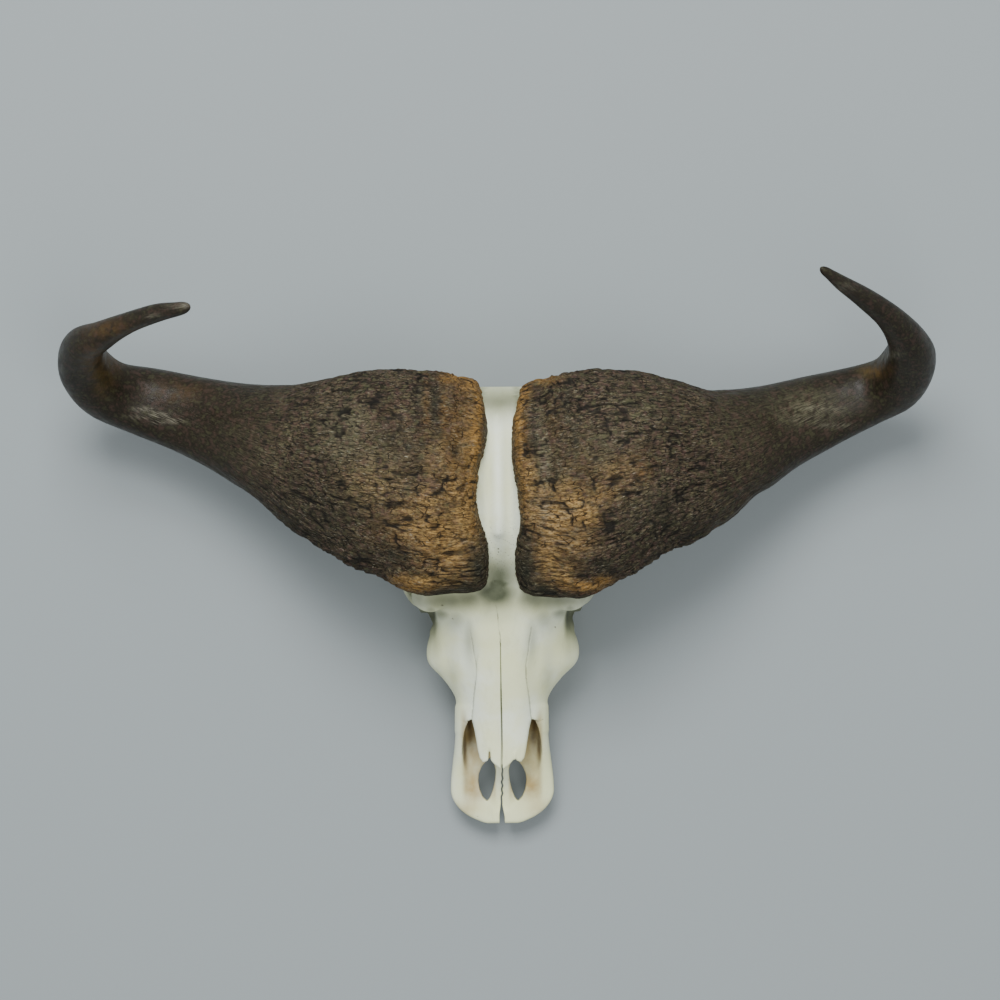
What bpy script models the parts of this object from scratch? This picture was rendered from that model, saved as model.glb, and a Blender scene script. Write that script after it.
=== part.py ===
"""A cape buffalo skull that lies face up, with its two horns and its upper cheek teeth.

+X is the right of the face seen from above, +Y runs from the muzzle to the poll, +Z is up.
Tables are in millimetres in the skull's own frame: x from the midline, y from the middle of the
bosses, z from the flat of the teeth. PLACE then moves the whole skull to its reference point,
the middle of the floor that the horns and the muzzle span.
"""

import math

import bmesh
import bpy
import numpy as np
from mathutils import Matrix, Vector

MM = 0.001
MERGE = 0.00001

# Driving dimensions, in millimetres
PLACE = (2.0, 62.0, 0.0)
FLOOR_DEPTH = 40.0
FIT_GAP = 0.35
BONE_GRAIN = 2.6
BONE_TRIANGLES = 4500
BONE_SIDES = 28
BONE_POWER = 3.0
BONE_FILL = 3
ROOF_SIDES = 24
ROOF_POWER = 2.6
BODY_SOFTENING = 4
ROOF_SOFTENING = 1
SHARP_ANGLE = 50.0

# Bone: y, lowest, highest, half width at the bottom, at the middle, at the top
FACE = (
    (-252, 31, 90, 46, 50, 40),
    (-236, 30, 101, 46, 50, 34),
    (-215, 28, 114, 47, 51, 31),
    (-195, 26, 126, 53, 64, 32),
    (-178, 25, 134, 58, 80, 35),
    (-163, 24, 141, 61, 83, 40),
    (-146, 24, 150, 61, 79, 48),
    (-132, 25, 157, 60, 72.5, 56),
    (-120, 27, 164, 60, 75, 64),
    (-108, 29, 170, 61, 80, 71),
    (-85, 34, 182, 60, 88, 84),
    (-60, 42, 191, 50, 78, 92),
    (-45, 52, 190, 40, 56, 80),
)
CRANIUM = (
    (-80, 66, 178, 34, 46, 60),
    (-50, 54, 195, 44, 52, 92),
    (-20, 50, 202, 50, 56, 96),
    (20, 48, 206, 56, 62, 94),
    (60, 48, 207, 60, 66, 90),
    (90, 50, 204, 62, 70, 84),
    (102, 74, 200, 60, 70, 80),
    (112, 104, 194, 60, 68, 72),
    (119, 128, 184, 52, 58, 58),
)
OCCIPUT = (
    (78, 62, 186, 60, 66, 56),
    (92, 56, 191, 74, 86, 66),
    (102, 70, 190, 74, 86, 66),
    (111, 100, 187, 74, 82, 62),
    (118, 128, 180, 60, 66, 54),
)
MUZZLE = (
    (-225, 33, 104, 46, 50, 34),
    (-248, 31, 93, 48, 50.5, 42),
    (-270, 29, 77, 50, 52, 46),
    (-290, 27, 60, 53, 54.5, 50),
    (-310, 25, 47, 55, 56.5, 54),
    (-325, 24, 40, 55, 56, 54),
    (-338, 24, 37, 48, 49, 47),
    (-348, 25, 35, 36, 37, 35),
    (-356, 27, 33, 19, 20, 18),
)
NASAL_ROOF = (
    (-180, 112, 128, 24, 26, 22),
    (-205, 100, 119, 28, 30, 27),
    (-236, 94, 106.5, 33, 33.5, 26),
    (-256, 90, 99, 30, 30.5, 24),
    (-276, 86, 93, 26, 26.5, 21),
    (-291, 83, 89, 22, 22.5, 17),
)
# Hollows cut in the bone, in the same form
NASAL_CAVITY = (
    (-336, 33, 70, 20, 26, 30),
    (-318, 33, 80, 36, 40, 42),
    (-296, 34, 92, 42, 44, 44),
    (-270, 36, 100, 42, 43, 41),
    (-246, 38, 96, 40, 41, 34),
    (-225, 40, 104, 34, 36, 26),
    (-180, 44, 112, 26, 28, 20),
    (-130, 48, 112, 18, 20, 14),
)
CHOANA = (
    (-112, 44, 62, 12, 14, 10),
    (-84, 36, 72, 17, 18, 14),
    (-52, 20, 62, 19, 19, 15),
    (-24, 10, 50, 20, 20, 16),
)
MIDDLE_LEVEL = 0.42
# The cheeks bulge a little further to the right: how far, about which place, over what length
CHEEK_LEAN = (2.2, -158.0, 46.0)

# Rods fused into the bone: x, y, z, radius; all but the first come in pairs, the right one given
SKULL_BASE = ((0, -70, 70, 14), (0, 0, 58, 17), (0, 60, 52, 20), (0, 104, 54, 22))
CHEEK_ARCH = (
    (70, -132, 80, 11),
    (82, -102, 82, 12),
    (94, -64, 82, 11),
    (102, -24, 84, 9),
    (100, 18, 90, 9),
    (86, 50, 96, 11),
    (66, 66, 100, 12),
)
EYE_BAR = ((98, -42, 152, 9), (103, -38, 122, 8), (101, -38, 86, 9))
EAR_PROCESS = ((64, 92, 88, 15), (60, 95, 56, 13), (56, 97, 26, 10), (53, 98, -12, 6.5))
TOOTH_RIDGE = ((36, -236, 31, 11), (39, -214, 32, 12), (45, -160, 34, 14), (49, -88, 35, 15))
ROD_FILL = 3
ROD_ROUNDNESS = 3
# Paired lumps fused into the bone: name, middle, radii, lean in degrees
LUMPS = (
    ("condyle", (25, 100, 60), (17, 17, 23), 20),
    ("ear_bulb", (38, 54, 48), (14, 19, 16), 0),
    ("pterygoid", (22, -54, 52), (4.5, 26, 26), 0),
    ("ear_root", (78, 74, 92), (16, 16, 14), 0),
)
# Raised rim of the eye socket: its middle, the way it faces, its two radii and the rim's radius
EYE_RING_MIDDLE = (94.0, -74.0, 124.0)
EYE_RING_FACE = (0.92, -0.25, 0.3)
EYE_RING_RADII = (33.0, 32.0)
EYE_RING_RIM = 8.5
EYE_RING_POINTS = 24
# Hollows on the midline: name, middle, radii
MIDDLE_HOLLOWS = (
    ("palate_vault", (0, -160, 8), (28, 92, 26)),
    ("brain_opening", (0, 118, 78), (17, 60, 15)),
    ("front_palate", (0, -292, 12), (38, 52, 18)),
)
EYE_SOCKET = ((98, -77, 126), (46, 27, 27), -16, -12)
PALATE_FISSURE = ((17.3, -308.5, 34), (9.5, 25, 60))
NASAL_FORK = ((13, -290, 88), (4.5, 18, 30))
FINE_SEGMENTS = 20
SMALL_SEGMENTS = 16
# Boxes that trim the bone, by two corners: below the floor, and the gap between the muzzle's halves
FLOOR_CUT = ((-300, -400, -FLOOR_DEPTH), (300, 200, 0))
MUZZLE_GAP = ((-1.3, -400, 10), (1.3, -262, 60))

# Cheek teeth: name, length along the row, width across it
TEETH = (
    ("premolar_2", 18, 17),
    ("premolar_3", 20, 20),
    ("premolar_4", 20, 22),
    ("molar_1", 25, 24),
    ("molar_2", 28, 25),
    ("molar_3", 30, 24),
)
ROW_START = -233.0
ROW_MIDDLE_X = 36.0
ROW_SPREAD = 13.0
ROW_LENGTH = 146.0
TOOTH_SPACE = 0.8
TOOTH_HEIGHT = 25.0
TOOTH_SIDES = 12
TOOTH_POWER = 0.6
TOOTH_LOBE = 0.12
# Share of the full width at the chewing face, just above it and at the root
TOOTH_SHARES = (0.9, 1.0, 0.94)
CHEWING_EDGE = 2.5
SOCKET_START = -6.0

# Horns: x, y, z of the middle line, half length and half thickness of the section, droop of its ends
LEFT_HORN = (
    (-46, 16, 207, 115, 42, 26),
    (-72, 19, 211, 119, 47, 27),
    (-125, 30, 200, 110, 52, 24),
    (-173, 42, 173, 94, 51, 16),
    (-226, 56, 140, 73, 47, 8),
    (-279, 77, 110, 53, 42, 3),
    (-333, 95, 92, 42.5, 38, 0),
    (-389, 110, 91, 34.5, 35, 0),
    (-424, 124, 112, 31, 32, 0),
    (-441, 148, 155, 27, 27, 0),
    (-433, 166, 208, 20.5, 21, 0),
    (-409, 174, 250, 15.5, 16, 0),
    (-378, 184, 287, 11.5, 12, 0),
    (-345, 193, 320, 9.5, 9.5, 0),
    (-322, 196, 341, 7, 7, 0),
)
LEFT_TIP = (-309, 198, 351)
RIGHT_HORN = (
    (48, 13, 207, 115, 42, 26),
    (80, 15, 211, 120, 47, 27),
    (127, 28, 200, 108, 52, 24),
    (165, 36, 180, 95, 51, 17),
    (203, 41, 158, 83, 49, 11),
    (240, 48, 134, 69.5, 45, 6),
    (294, 72, 105, 50, 41, 2),
    (348, 92, 90, 41, 37, 0),
    (400, 110, 92, 33.5, 34, 0),
    (427, 122, 112, 31, 31, 0),
    (437, 142, 155, 28, 27, 0),
    (429, 162, 208, 19.5, 20, 0),
    (408, 183, 250, 13.5, 14.5, 0),
    (378, 202, 286, 10.5, 11, 0),
    (351, 216, 318, 7.5, 8, 0),
    (335, 225, 338, 5, 5, 0),
)
RIGHT_TIP = (326, 230, 347)
# Where a horn's outline swells or draws in, seen from above: x, y, reach, shift in x, shift in y
LEFT_PUSHES = (
    (-373, 144, 40, 0, 5),
    (-141, 135, 55, 0, 3),
    (-259, 3, 26, 0, 6),
    (-130, -81, 18, 0, 5),
)
RIGHT_PUSHES = (
    (140, 135, 55, 0, 3.5),
    (269, -2, 24, 0, 8),
    (207, -46, 20, 0, -3),
    (15, -87, 18, 5, 0),
    (107, -92, 24, 0, 4),
)
HORN_FILL = 2
DIRECTION_PASSES = 3
# Inner edge of each boss: x, depth of its shallow recess, place of the recess along the edge
LEFT_EDGE = (-18.5, 6.5, -0.1)
RIGHT_EDGE = (18.0, 4.0, -0.3)
EDGE_WAVES = 4.2
EDGE_REACH = 60.0
# How the boss rounds off at its inner edge: steps, first step's place, shortest half length
EDGE_STEPS = 5
EDGE_START = 0.12
EDGE_SHORTENING = 0.22
EDGE_CROWDING = 1.6
SECTION_POWER = 2.3
HORN_SIDES = 20


def smooth_rows(rows, steps):
    """The rows with the stretches between them filled in by a Catmull-Rom curve."""
    rows = np.array(rows, float)
    before = np.vstack((2 * rows[0] - rows[1], rows[:-1]))
    after = np.vstack((rows[1:], 2 * rows[-1] - rows[-2]))
    slope = (after - before) / 2
    t = np.linspace(0, 1, steps, endpoint=False)[None, :, None]
    here, there = rows[:-1, None], rows[1:, None]
    out, into = slope[:-1, None], slope[1:, None]
    filled = (
        (2 * t**3 - 3 * t**2 + 1) * here
        + (t**3 - 2 * t**2 + t) * out
        + (3 * t**2 - 2 * t**3) * there
        + (t**3 - t**2) * into
    )
    return np.vstack((filled.reshape(-1, rows.shape[1]), rows[-1:]))


def rounded(angle, power):
    """Two coordinates from -1 to 1 around a rounded block; a higher power is squarer."""
    cosine, sine = np.cos(angle), np.sin(angle)
    return np.sign(cosine) * np.abs(cosine) ** power, np.sign(sine) * np.abs(sine) ** power


def bone_rings(rows, sides=BONE_SIDES, power=BONE_POWER):
    """Rings across the skull, one a row: a rounded block whose width changes with its height."""
    rows = smooth_rows(rows, BONE_FILL)
    y, low, high, w_low, w_mid, w_top = (column[:, None] for column in rows.T)
    angle = np.linspace(0, math.tau, sides, endpoint=False)[None, :]
    across, up = rounded(angle, 2 / power)
    level = (up + 1) / 2
    below = np.clip(level / MIDDLE_LEVEL, 0, 1)
    above = np.clip((level - MIDDLE_LEVEL) / (1 - MIDDLE_LEVEL), 0, 1)
    below, above = below**2 * (3 - 2 * below), above**2 * (3 - 2 * above)
    width = w_low + (w_mid - w_low) * below + (w_top - w_mid) * above
    lean, lean_at, lean_over = CHEEK_LEAN
    x = width * across + lean * np.exp(-(((y - lean_at) / lean_over) ** 2))
    z = (low + high) / 2 + (high - low) / 2 * up
    return np.stack((x, y + 0 * x, z), axis=-1)


def horn_rings(rows, edge, pushes, side):
    """Rings along a horn: from the rounded inner edge of the boss to the last row by the tip."""
    edge_x, recess, recess_at = edge
    boss = np.array(rows[0], float)
    turn = np.linspace(EDGE_START, 1, EDGE_STEPS, endpoint=False)[:, None]
    rise = np.sqrt(1 - (1 - turn) ** 2)
    inner = np.repeat(boss[None], EDGE_STEPS, axis=0)
    inner[:, 0:1] = edge_x + (boss[0] - edge_x) * turn**EDGE_CROWDING
    inner[:, 3:4] *= 1 - EDGE_SHORTENING * (1 - rise)
    inner[:, 4:5] *= rise
    path = np.vstack((inner, smooth_rows(rows, HORN_FILL)))
    centre, half, thick, droop = path[:, :3], path[:, 3:4], path[:, 4:5], path[:, 5:6]
    along = np.gradient(centre, axis=0)
    along /= np.linalg.norm(along, axis=1, keepdims=True)
    along[:EDGE_STEPS] = (side, 0, 0)
    for _ in range(DIRECTION_PASSES):
        along[1:-1] = (along[:-2] + 2 * along[1:-1] + along[2:]) / 4
    along /= np.linalg.norm(along, axis=1, keepdims=True)
    across = np.array((0.0, 1.0, 0.0)) - along * along[:, 1:2]
    across /= np.linalg.norm(across, axis=1, keepdims=True)
    out = side * np.cross(along, across)
    angle = np.linspace(0, math.tau, HORN_SIDES, endpoint=False)[None, :]
    v, w = rounded(angle, 2 / SECTION_POWER)
    rings = (
        centre[:, None]
        + across[:, None] * (half * v)[..., None]
        + out[:, None] * (thick * w - droop * v**2)[..., None]
    )
    nearness = np.clip(1 - np.abs(centre[:, 0:1] - edge_x) / EDGE_REACH, 0, 1)
    rings[..., 0] += side * nearness * recess * np.cos(EDGE_WAVES * (v - recess_at))
    plan = rings[..., :2].copy()
    for x, y, reach, shift_x, shift_y in pushes:
        share = np.exp(-((plan[..., 0] - x) ** 2 + (plan[..., 1] - y) ** 2) / reach**2)
        rings[..., 0] += shift_x * share
        rings[..., 1] += shift_y * share
    return rings


def mesh_object(name, points, faces, collection):
    """A mesh object in a collection, its points given in millimetres."""
    mesh = bpy.data.meshes.new(name)
    mesh.from_pydata((np.asarray(points) * MM).tolist(), [], faces)
    bm = bmesh.new()
    bm.from_mesh(mesh)
    bmesh.ops.recalc_face_normals(bm, faces=bm.faces)
    bm.to_mesh(mesh)
    bm.free()
    made = bpy.data.objects.new(name, mesh)
    collection.objects.link(made)
    return made


def loft(name, rings, collection, start=None, end=None):
    """A closed body through rings of points, each end drawn to one point."""
    count, sides = rings.shape[:2]
    start = rings[0].mean(axis=0) if start is None else start
    end = rings[-1].mean(axis=0) if end is None else end
    points = np.vstack((rings.reshape(-1, 3), start, end))
    first, last = count * sides, count * sides + 1
    faces = []
    for row in range(count - 1):
        for k in range(sides):
            a, b = row * sides + k, row * sides + (k + 1) % sides
            faces.append((a, b, b + sides, a + sides))
    for k in range(sides):
        here, there = k, (k + 1) % sides
        back = (count - 1) * sides
        faces.append((there, here, first))
        faces.append((back + here, back + there, last))
    return mesh_object(name, points, faces, collection)


def ellipsoid(name, centre, radii, collection, turn=(0, 0, 0), segments=FINE_SEGMENTS):
    """A sphere scaled to three radii, turned by degrees about X, Y and Z."""
    bm = bmesh.new()
    bmesh.ops.create_uvsphere(bm, u_segments=segments, v_segments=segments // 2 + 2, radius=MM)
    spin = Matrix.Rotation(math.radians(turn[2]), 4, "Z")
    spin = spin @ Matrix.Rotation(math.radians(turn[1]), 4, "Y")
    spin = spin @ Matrix.Rotation(math.radians(turn[0]), 4, "X")
    place = Matrix.Translation(Vector(centre) * MM)
    bm.transform(place @ spin @ Matrix.Diagonal((*radii, 1)))
    mesh = bpy.data.meshes.new(name)
    bm.to_mesh(mesh)
    bm.free()
    made = bpy.data.objects.new(name, mesh)
    collection.objects.link(made)
    return made


def rod(name, points, collection, closed=False):
    """A tapering tube along points of x, y, z and radius, made a closed mesh."""
    points = np.array(points, float)
    curve = bpy.data.curves.new(name, "CURVE")
    curve.dimensions = "3D"
    curve.bevel_depth = MM
    curve.bevel_resolution = ROD_ROUNDNESS
    curve.use_fill_caps = not closed
    spline = curve.splines.new("POLY")
    path = points if closed else smooth_rows(points, ROD_FILL)
    spline.points.add(len(path) - 1)
    for point, (x, y, z, radius) in zip(spline.points, path):
        point.co = (x * MM, y * MM, z * MM, 1)
        point.radius = radius
    spline.use_cyclic_u = closed
    guide = bpy.data.objects.new(name, curve)
    collection.objects.link(guide)
    bpy.context.view_layer.update()
    graph = bpy.context.evaluated_depsgraph_get()
    mesh = bpy.data.meshes.new_from_object(guide.evaluated_get(graph))
    bm = bmesh.new()
    bm.from_mesh(mesh)
    bmesh.ops.remove_doubles(bm, verts=bm.verts, dist=MERGE)
    bmesh.ops.recalc_face_normals(bm, faces=bm.faces)
    bm.to_mesh(mesh)
    bm.free()
    made = bpy.data.objects.new(name, mesh)
    made.matrix_world = guide.matrix_world
    collection.objects.link(made)
    bpy.data.objects.remove(guide)
    return made


def joined(name, pieces, collection):
    """One object that holds the meshes of several, which are removed."""
    bm = bmesh.new()
    for piece in pieces:
        bm.from_mesh(piece.data)
    mesh = bpy.data.meshes.new(name)
    bm.to_mesh(mesh)
    bm.free()
    for piece in pieces:
        bpy.data.objects.remove(piece)
    made = bpy.data.objects.new(name, mesh)
    collection.objects.link(made)
    return made


def add_boolean(target, other, operation):
    """Cuts another object from a target, or adds it, by a modifier."""
    cut = target.modifiers.new(other.name, "BOOLEAN")
    cut.operation = operation
    cut.object = other
    cut.solver = "EXACT"


def baked(target):
    """Replaces an object's mesh by the mesh that its modifiers give."""
    bpy.context.view_layer.update()
    graph = bpy.context.evaluated_depsgraph_get()
    mesh = bpy.data.meshes.new_from_object(target.evaluated_get(graph))
    target.modifiers.clear()
    target.data = mesh


def mirrored(values, side):
    """A point, or rows that start with one, put on the left or the right side."""
    moved = np.array(values, float)
    moved[..., 0] *= side
    return moved


def eye_ring(side, collection):
    """The raised rim of an eye socket: a ring whose face looks out, a little forward and up."""
    centre = mirrored(EYE_RING_MIDDLE, side)
    face = mirrored(EYE_RING_FACE, side)
    face /= np.linalg.norm(face)
    forward = np.array((0.0, -1.0, 0.0))
    forward -= face * forward.dot(face)
    forward /= np.linalg.norm(forward)
    up = np.cross(face, forward)
    long, tall = EYE_RING_RADII
    turn = np.linspace(0, math.tau, EYE_RING_POINTS, endpoint=False)[:, None]
    ring = centre + long * np.cos(turn) * forward + tall * np.sin(turn) * up
    rim = np.full((EYE_RING_POINTS, 1), EYE_RING_RIM)
    return rod("eye_ring", np.hstack((ring, rim)), collection, closed=True)


def row_centre(y):
    """Distance of the tooth row's middle from the midline, at a place along the skull."""
    share = (y - ROW_START) / ROW_LENGTH
    return ROW_MIDDLE_X + ROW_SPREAD * math.sin(share * math.pi / 2)


def tooth_places():
    """Name, middle y, length and width of each cheek tooth, from the front to the back."""
    start = ROW_START
    for name, length, width in TEETH:
        yield name, start + length / 2, length, width
        start += length + TOOTH_SPACE


def tooth_rings(side, middle, length, width, grow=0.0, low=0.0, high=TOOTH_HEIGHT):
    """Rings up a crown: a rounded block with two lobes towards the cheek."""
    angle = np.linspace(0, math.tau, TOOTH_SIDES, endpoint=False)
    crosswise, lengthwise = rounded(angle, TOOTH_POWER)
    lobe = 1 - TOOTH_LOBE * np.clip(crosswise, 0, 1) * np.cos(lengthwise * math.pi / 2) ** 4
    rings = []
    for z, share in zip((low, low + CHEWING_EDGE, high), TOOTH_SHARES):
        x = side * (row_centre(middle) + (width * share / 2 + grow) * crosswise * lobe)
        y = middle + (length / 2 + grow) * lengthwise
        rings.append(np.stack((x, y, np.full(TOOTH_SIDES, z)), axis=-1))
    return np.array(rings)


def bone_bodies(collection):
    """The overlapping bodies that the bone is fused from."""
    bodies = [
        loft("face", bone_rings(FACE), collection),
        loft("cranium", bone_rings(CRANIUM), collection),
        loft("occiput", bone_rings(OCCIPUT), collection),
        loft("muzzle", bone_rings(MUZZLE), collection),
        rod("skull_base", SKULL_BASE, collection),
    ]
    for side in (-1, 1):
        bodies += [
            eye_ring(side, collection),
            rod("cheek_arch", mirrored(CHEEK_ARCH, side), collection),
            rod("eye_bar", mirrored(EYE_BAR, side), collection),
            rod("ear_process", mirrored(EAR_PROCESS, side), collection),
            rod("tooth_ridge", mirrored(TOOTH_RIDGE, side), collection),
        ]
        for name, middle, radii, lean in LUMPS:
            bodies.append(ellipsoid(name, mirrored(middle, side), radii, collection, (0, side * lean, 0)))
    return bodies


def hollow_bodies(collection):
    """The bodies that are cut out of the bone."""
    cutters = [
        loft("nasal_cavity", bone_rings(NASAL_CAVITY), collection),
        loft("choana", bone_rings(CHOANA), collection),
    ]
    for name, middle, radii in MIDDLE_HOLLOWS:
        cutters.append(ellipsoid(name, middle, radii, collection))
    eye_middle, eye_radii, eye_lean, eye_turn = EYE_SOCKET
    slit_middle, slit_radii = PALATE_FISSURE
    for side in (-1, 1):
        turn = (0, side * eye_lean, side * eye_turn)
        eye = ellipsoid("eye_socket", mirrored(eye_middle, side), eye_radii, collection, turn)
        slit_at = mirrored(slit_middle, side)
        slit = ellipsoid("palate_fissure", slit_at, slit_radii, collection, segments=SMALL_SEGMENTS)
        cutters += [eye, slit]
    return cutters


def fuse(target, grain, passes):
    """Makes one skin of overlapping bodies, in steps of one grain, and softens it in passes."""
    skin = target.modifiers.new("fuse", "REMESH")
    skin.mode = "VOXEL"
    skin.voxel_size = grain * MM
    soften = target.modifiers.new("soften", "SMOOTH")
    soften.factor = 0.5
    soften.iterations = passes
    baked(target)


def build_skull(parts, cutters):
    """The bone: fused bodies, then its hollows, the nasal roof and the sockets of the teeth."""
    skull = joined("skull", bone_bodies(parts), parts)
    fuse(skull, BONE_GRAIN, BODY_SOFTENING)
    for cutter in hollow_bodies(cutters):
        add_boolean(skull, cutter, "DIFFERENCE")
    baked(skull)
    roof = loft("nasal_roof", bone_rings(NASAL_ROOF, ROOF_SIDES, ROOF_POWER), parts)
    fork_middle, fork_radii = NASAL_FORK
    for side in (-1, 1):
        fork_at = mirrored(fork_middle, side)
        fork = ellipsoid("nasal_fork", fork_at, fork_radii, cutters, segments=SMALL_SEGMENTS)
        add_boolean(roof, fork, "DIFFERENCE")
    baked(roof)
    skull = joined("skull", [skull, roof], parts)
    fuse(skull, BONE_GRAIN, ROOF_SOFTENING)
    thin = skull.modifiers.new("thin", "DECIMATE")
    thin.ratio = BONE_TRIANGLES / (2 * len(skull.data.polygons))
    baked(skull)
    add_boolean(skull, mesh_box("floor_cut", *FLOOR_CUT, cutters), "DIFFERENCE")
    add_boolean(skull, mesh_box("muzzle_gap", *MUZZLE_GAP, cutters), "DIFFERENCE")
    socket_end = TOOTH_HEIGHT + FIT_GAP
    for side in (-1, 1):
        for name, middle, length, width in tooth_places():
            rings = tooth_rings(side, middle, length, width, FIT_GAP, SOCKET_START, socket_end)
            add_boolean(skull, loft(f"socket_{name}", rings, cutters), "DIFFERENCE")
    baked(skull)
    return skull


def mesh_box(name, low, high, collection):
    """A box between two corners, given in millimetres."""
    bm = bmesh.new()
    bmesh.ops.create_cube(bm, size=1)
    low, high = Vector(low) * MM, Vector(high) * MM
    bm.transform(Matrix.Translation((low + high) / 2) @ Matrix.Diagonal((*(high - low), 1)))
    mesh = bpy.data.meshes.new(name)
    bm.to_mesh(mesh)
    bm.free()
    made = bpy.data.objects.new(name, mesh)
    collection.objects.link(made)
    return made


def build_horn(name, rings, tip, seat, parts):
    """One solid horn, cut to sit on the bone."""
    horn = loft(name, rings, parts, end=np.array(tip, float))
    add_boolean(horn, seat, "DIFFERENCE")
    baked(horn)
    return horn


def finish_material(name, color, roughness):
    """A Principled material with one colour."""
    made = bpy.data.materials.new(name)
    made.use_nodes = True
    shader = made.node_tree.nodes["Principled BSDF"]
    shader.inputs["Base Color"].default_value = (*color, 1)
    shader.inputs["Roughness"].default_value = roughness
    return made


def keep_largest(target):
    """Removes loose crumbs that the cuts left beside the main body."""
    bm = bmesh.new()
    bm.from_mesh(target.data)
    bm.verts.ensure_lookup_table()
    left = set(bm.verts)
    groups = []
    while left:
        seed = left.pop()
        group, front = {seed}, [seed]
        while front:
            vert = front.pop()
            for edge in vert.link_edges:
                other = edge.other_vert(vert)
                if other in left:
                    left.remove(other)
                    group.add(other)
                    front.append(other)
        groups.append(group)
    groups.sort(key=len)
    for group in groups[:-1]:
        bmesh.ops.delete(bm, geom=list(group), context="VERTS")
    bm.to_mesh(target.data)
    bm.free()


def main():
    """Builds the bone, the horns and the teeth, and gives each its material."""
    for old in list(bpy.data.objects):
        bpy.data.objects.remove(old)
    parts = bpy.data.collections.new("cape_buffalo_skull")
    cutters = bpy.data.collections.new("cutters")
    bpy.context.scene.collection.children.link(parts)
    bpy.context.scene.collection.children.link(cutters)

    bone = finish_material("bleached_bone", (0.80, 0.74, 0.62), 0.75)
    horn = finish_material("horn_sheath", (0.07, 0.05, 0.04), 0.55)
    enamel = finish_material("tooth_enamel", (0.66, 0.55, 0.38), 0.45)

    skull = build_skull(parts, cutters)
    keep_largest(skull)
    seat = skull.copy()
    seat.data = skull.data.copy()
    seat.name = "seat"
    cutters.objects.link(seat)
    swell = seat.modifiers.new("swell", "DISPLACE")
    swell.strength = FIT_GAP * MM
    swell.mid_level = 0
    baked(seat)

    left_rings = horn_rings(LEFT_HORN, LEFT_EDGE, LEFT_PUSHES, -1)
    right_rings = horn_rings(RIGHT_HORN, RIGHT_EDGE, RIGHT_PUSHES, 1)
    left = build_horn("left_horn", left_rings, LEFT_TIP, seat, parts)
    right = build_horn("right_horn", right_rings, RIGHT_TIP, seat, parts)
    keep_largest(left)
    keep_largest(right)
    teeth = []
    for side, word in ((-1, "left"), (1, "right")):
        for name, middle, length, width in tooth_places():
            rings = tooth_rings(side, middle, length, width)
            teeth.append(loft(f"{word}_{name}", rings, parts))
    for piece, material in [(skull, bone), (left, horn), (right, horn)] + [(t, enamel) for t in teeth]:
        piece.data.materials.clear()
        piece.data.materials.append(material)
        piece.data.shade_smooth()
        piece.data.set_sharp_from_angle(angle=math.radians(SHARP_ANGLE))
        piece.data.transform(Matrix.Translation(Vector(PLACE) * MM))
    for cutter in cutters.objects:
        cutter.hide_render = True
        cutter.display_type = "WIRE"


if __name__ == "__main__":
    main()
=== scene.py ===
"""Visual model of a cape buffalo skull that lies face up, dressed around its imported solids.

Shapes are worked out in millimetres in the skull's own frame: x from the midline, positive to the
right of the face seen from above, y from the middle of the bosses, positive towards the poll, and
z up from the flat of the teeth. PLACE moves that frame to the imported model's, which is in metres.
"""

import logging
import math
from collections.abc import Iterator
from dataclasses import dataclass, field
from enum import Enum

import bmesh
import bpy
import numpy as np
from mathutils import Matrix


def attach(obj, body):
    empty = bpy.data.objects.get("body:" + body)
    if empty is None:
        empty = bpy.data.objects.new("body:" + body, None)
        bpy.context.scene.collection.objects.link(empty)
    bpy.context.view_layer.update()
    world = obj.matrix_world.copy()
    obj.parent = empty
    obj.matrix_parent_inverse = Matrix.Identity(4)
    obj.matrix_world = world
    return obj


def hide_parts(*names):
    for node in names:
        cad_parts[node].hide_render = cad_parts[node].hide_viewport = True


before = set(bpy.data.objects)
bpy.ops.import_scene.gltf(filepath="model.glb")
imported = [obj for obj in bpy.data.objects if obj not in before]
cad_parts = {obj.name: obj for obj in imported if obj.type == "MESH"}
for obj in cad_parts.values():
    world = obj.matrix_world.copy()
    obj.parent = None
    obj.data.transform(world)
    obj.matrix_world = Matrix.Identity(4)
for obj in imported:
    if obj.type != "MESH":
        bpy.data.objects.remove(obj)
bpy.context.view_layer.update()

logging.basicConfig(level=logging.INFO, format="%(message)s")
LOG = logging.getLogger("skull")

MM = 0.001
PLACE = np.array((2.0, 62.0, 0.0))
FAR = 60.0

WELD = 1e-6

Array = np.ndarray
Box = tuple[Array, Array]
Triple = tuple[float, float, float]
Rows = tuple[tuple[float, ...], ...]
Socket = bpy.types.NodeSocket
Material = bpy.types.Material
Piece = bpy.types.Object
Feed = Socket | float | tuple[float, ...]


class Side(Enum):
    """The two sides of the skull, as the sign of x."""

    LEFT = -1
    RIGHT = 1

    @property
    def word(self) -> str:
        """The side's name in a piece's name."""
        return self.name.lower()


def ease(low: float, high: float, value: Array) -> Array:
    """A smooth step: 0 below low, 1 above high, and 3t^2 - 2t^3 between them."""
    t = np.clip((value - low) / (high - low), 0, 1)
    return t * t * (3 - 2 * t)


def hump(value: Array, middle: float, spread: float) -> Array:
    """A bell curve exp(-t^2), with t the distance from the middle in spreads."""
    return np.exp(-(((value - middle) / spread) ** 2))


def blunt(value: Array, power: float) -> Array:
    """The value's sign with its size raised to a power, which squares off a circle's sine or cosine."""
    return np.sign(value) * np.abs(value) ** power


def unit(vectors: Array) -> Array:
    """Vectors brought to a length of 1."""
    return vectors / np.maximum(np.linalg.norm(vectors, axis=-1, keepdims=True), 1e-9)


def running_total(steps: Array) -> Array:
    """The sum of the steps up to each place, from 0 on."""
    return np.concatenate(((0.0,), np.cumsum(steps)))


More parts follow.
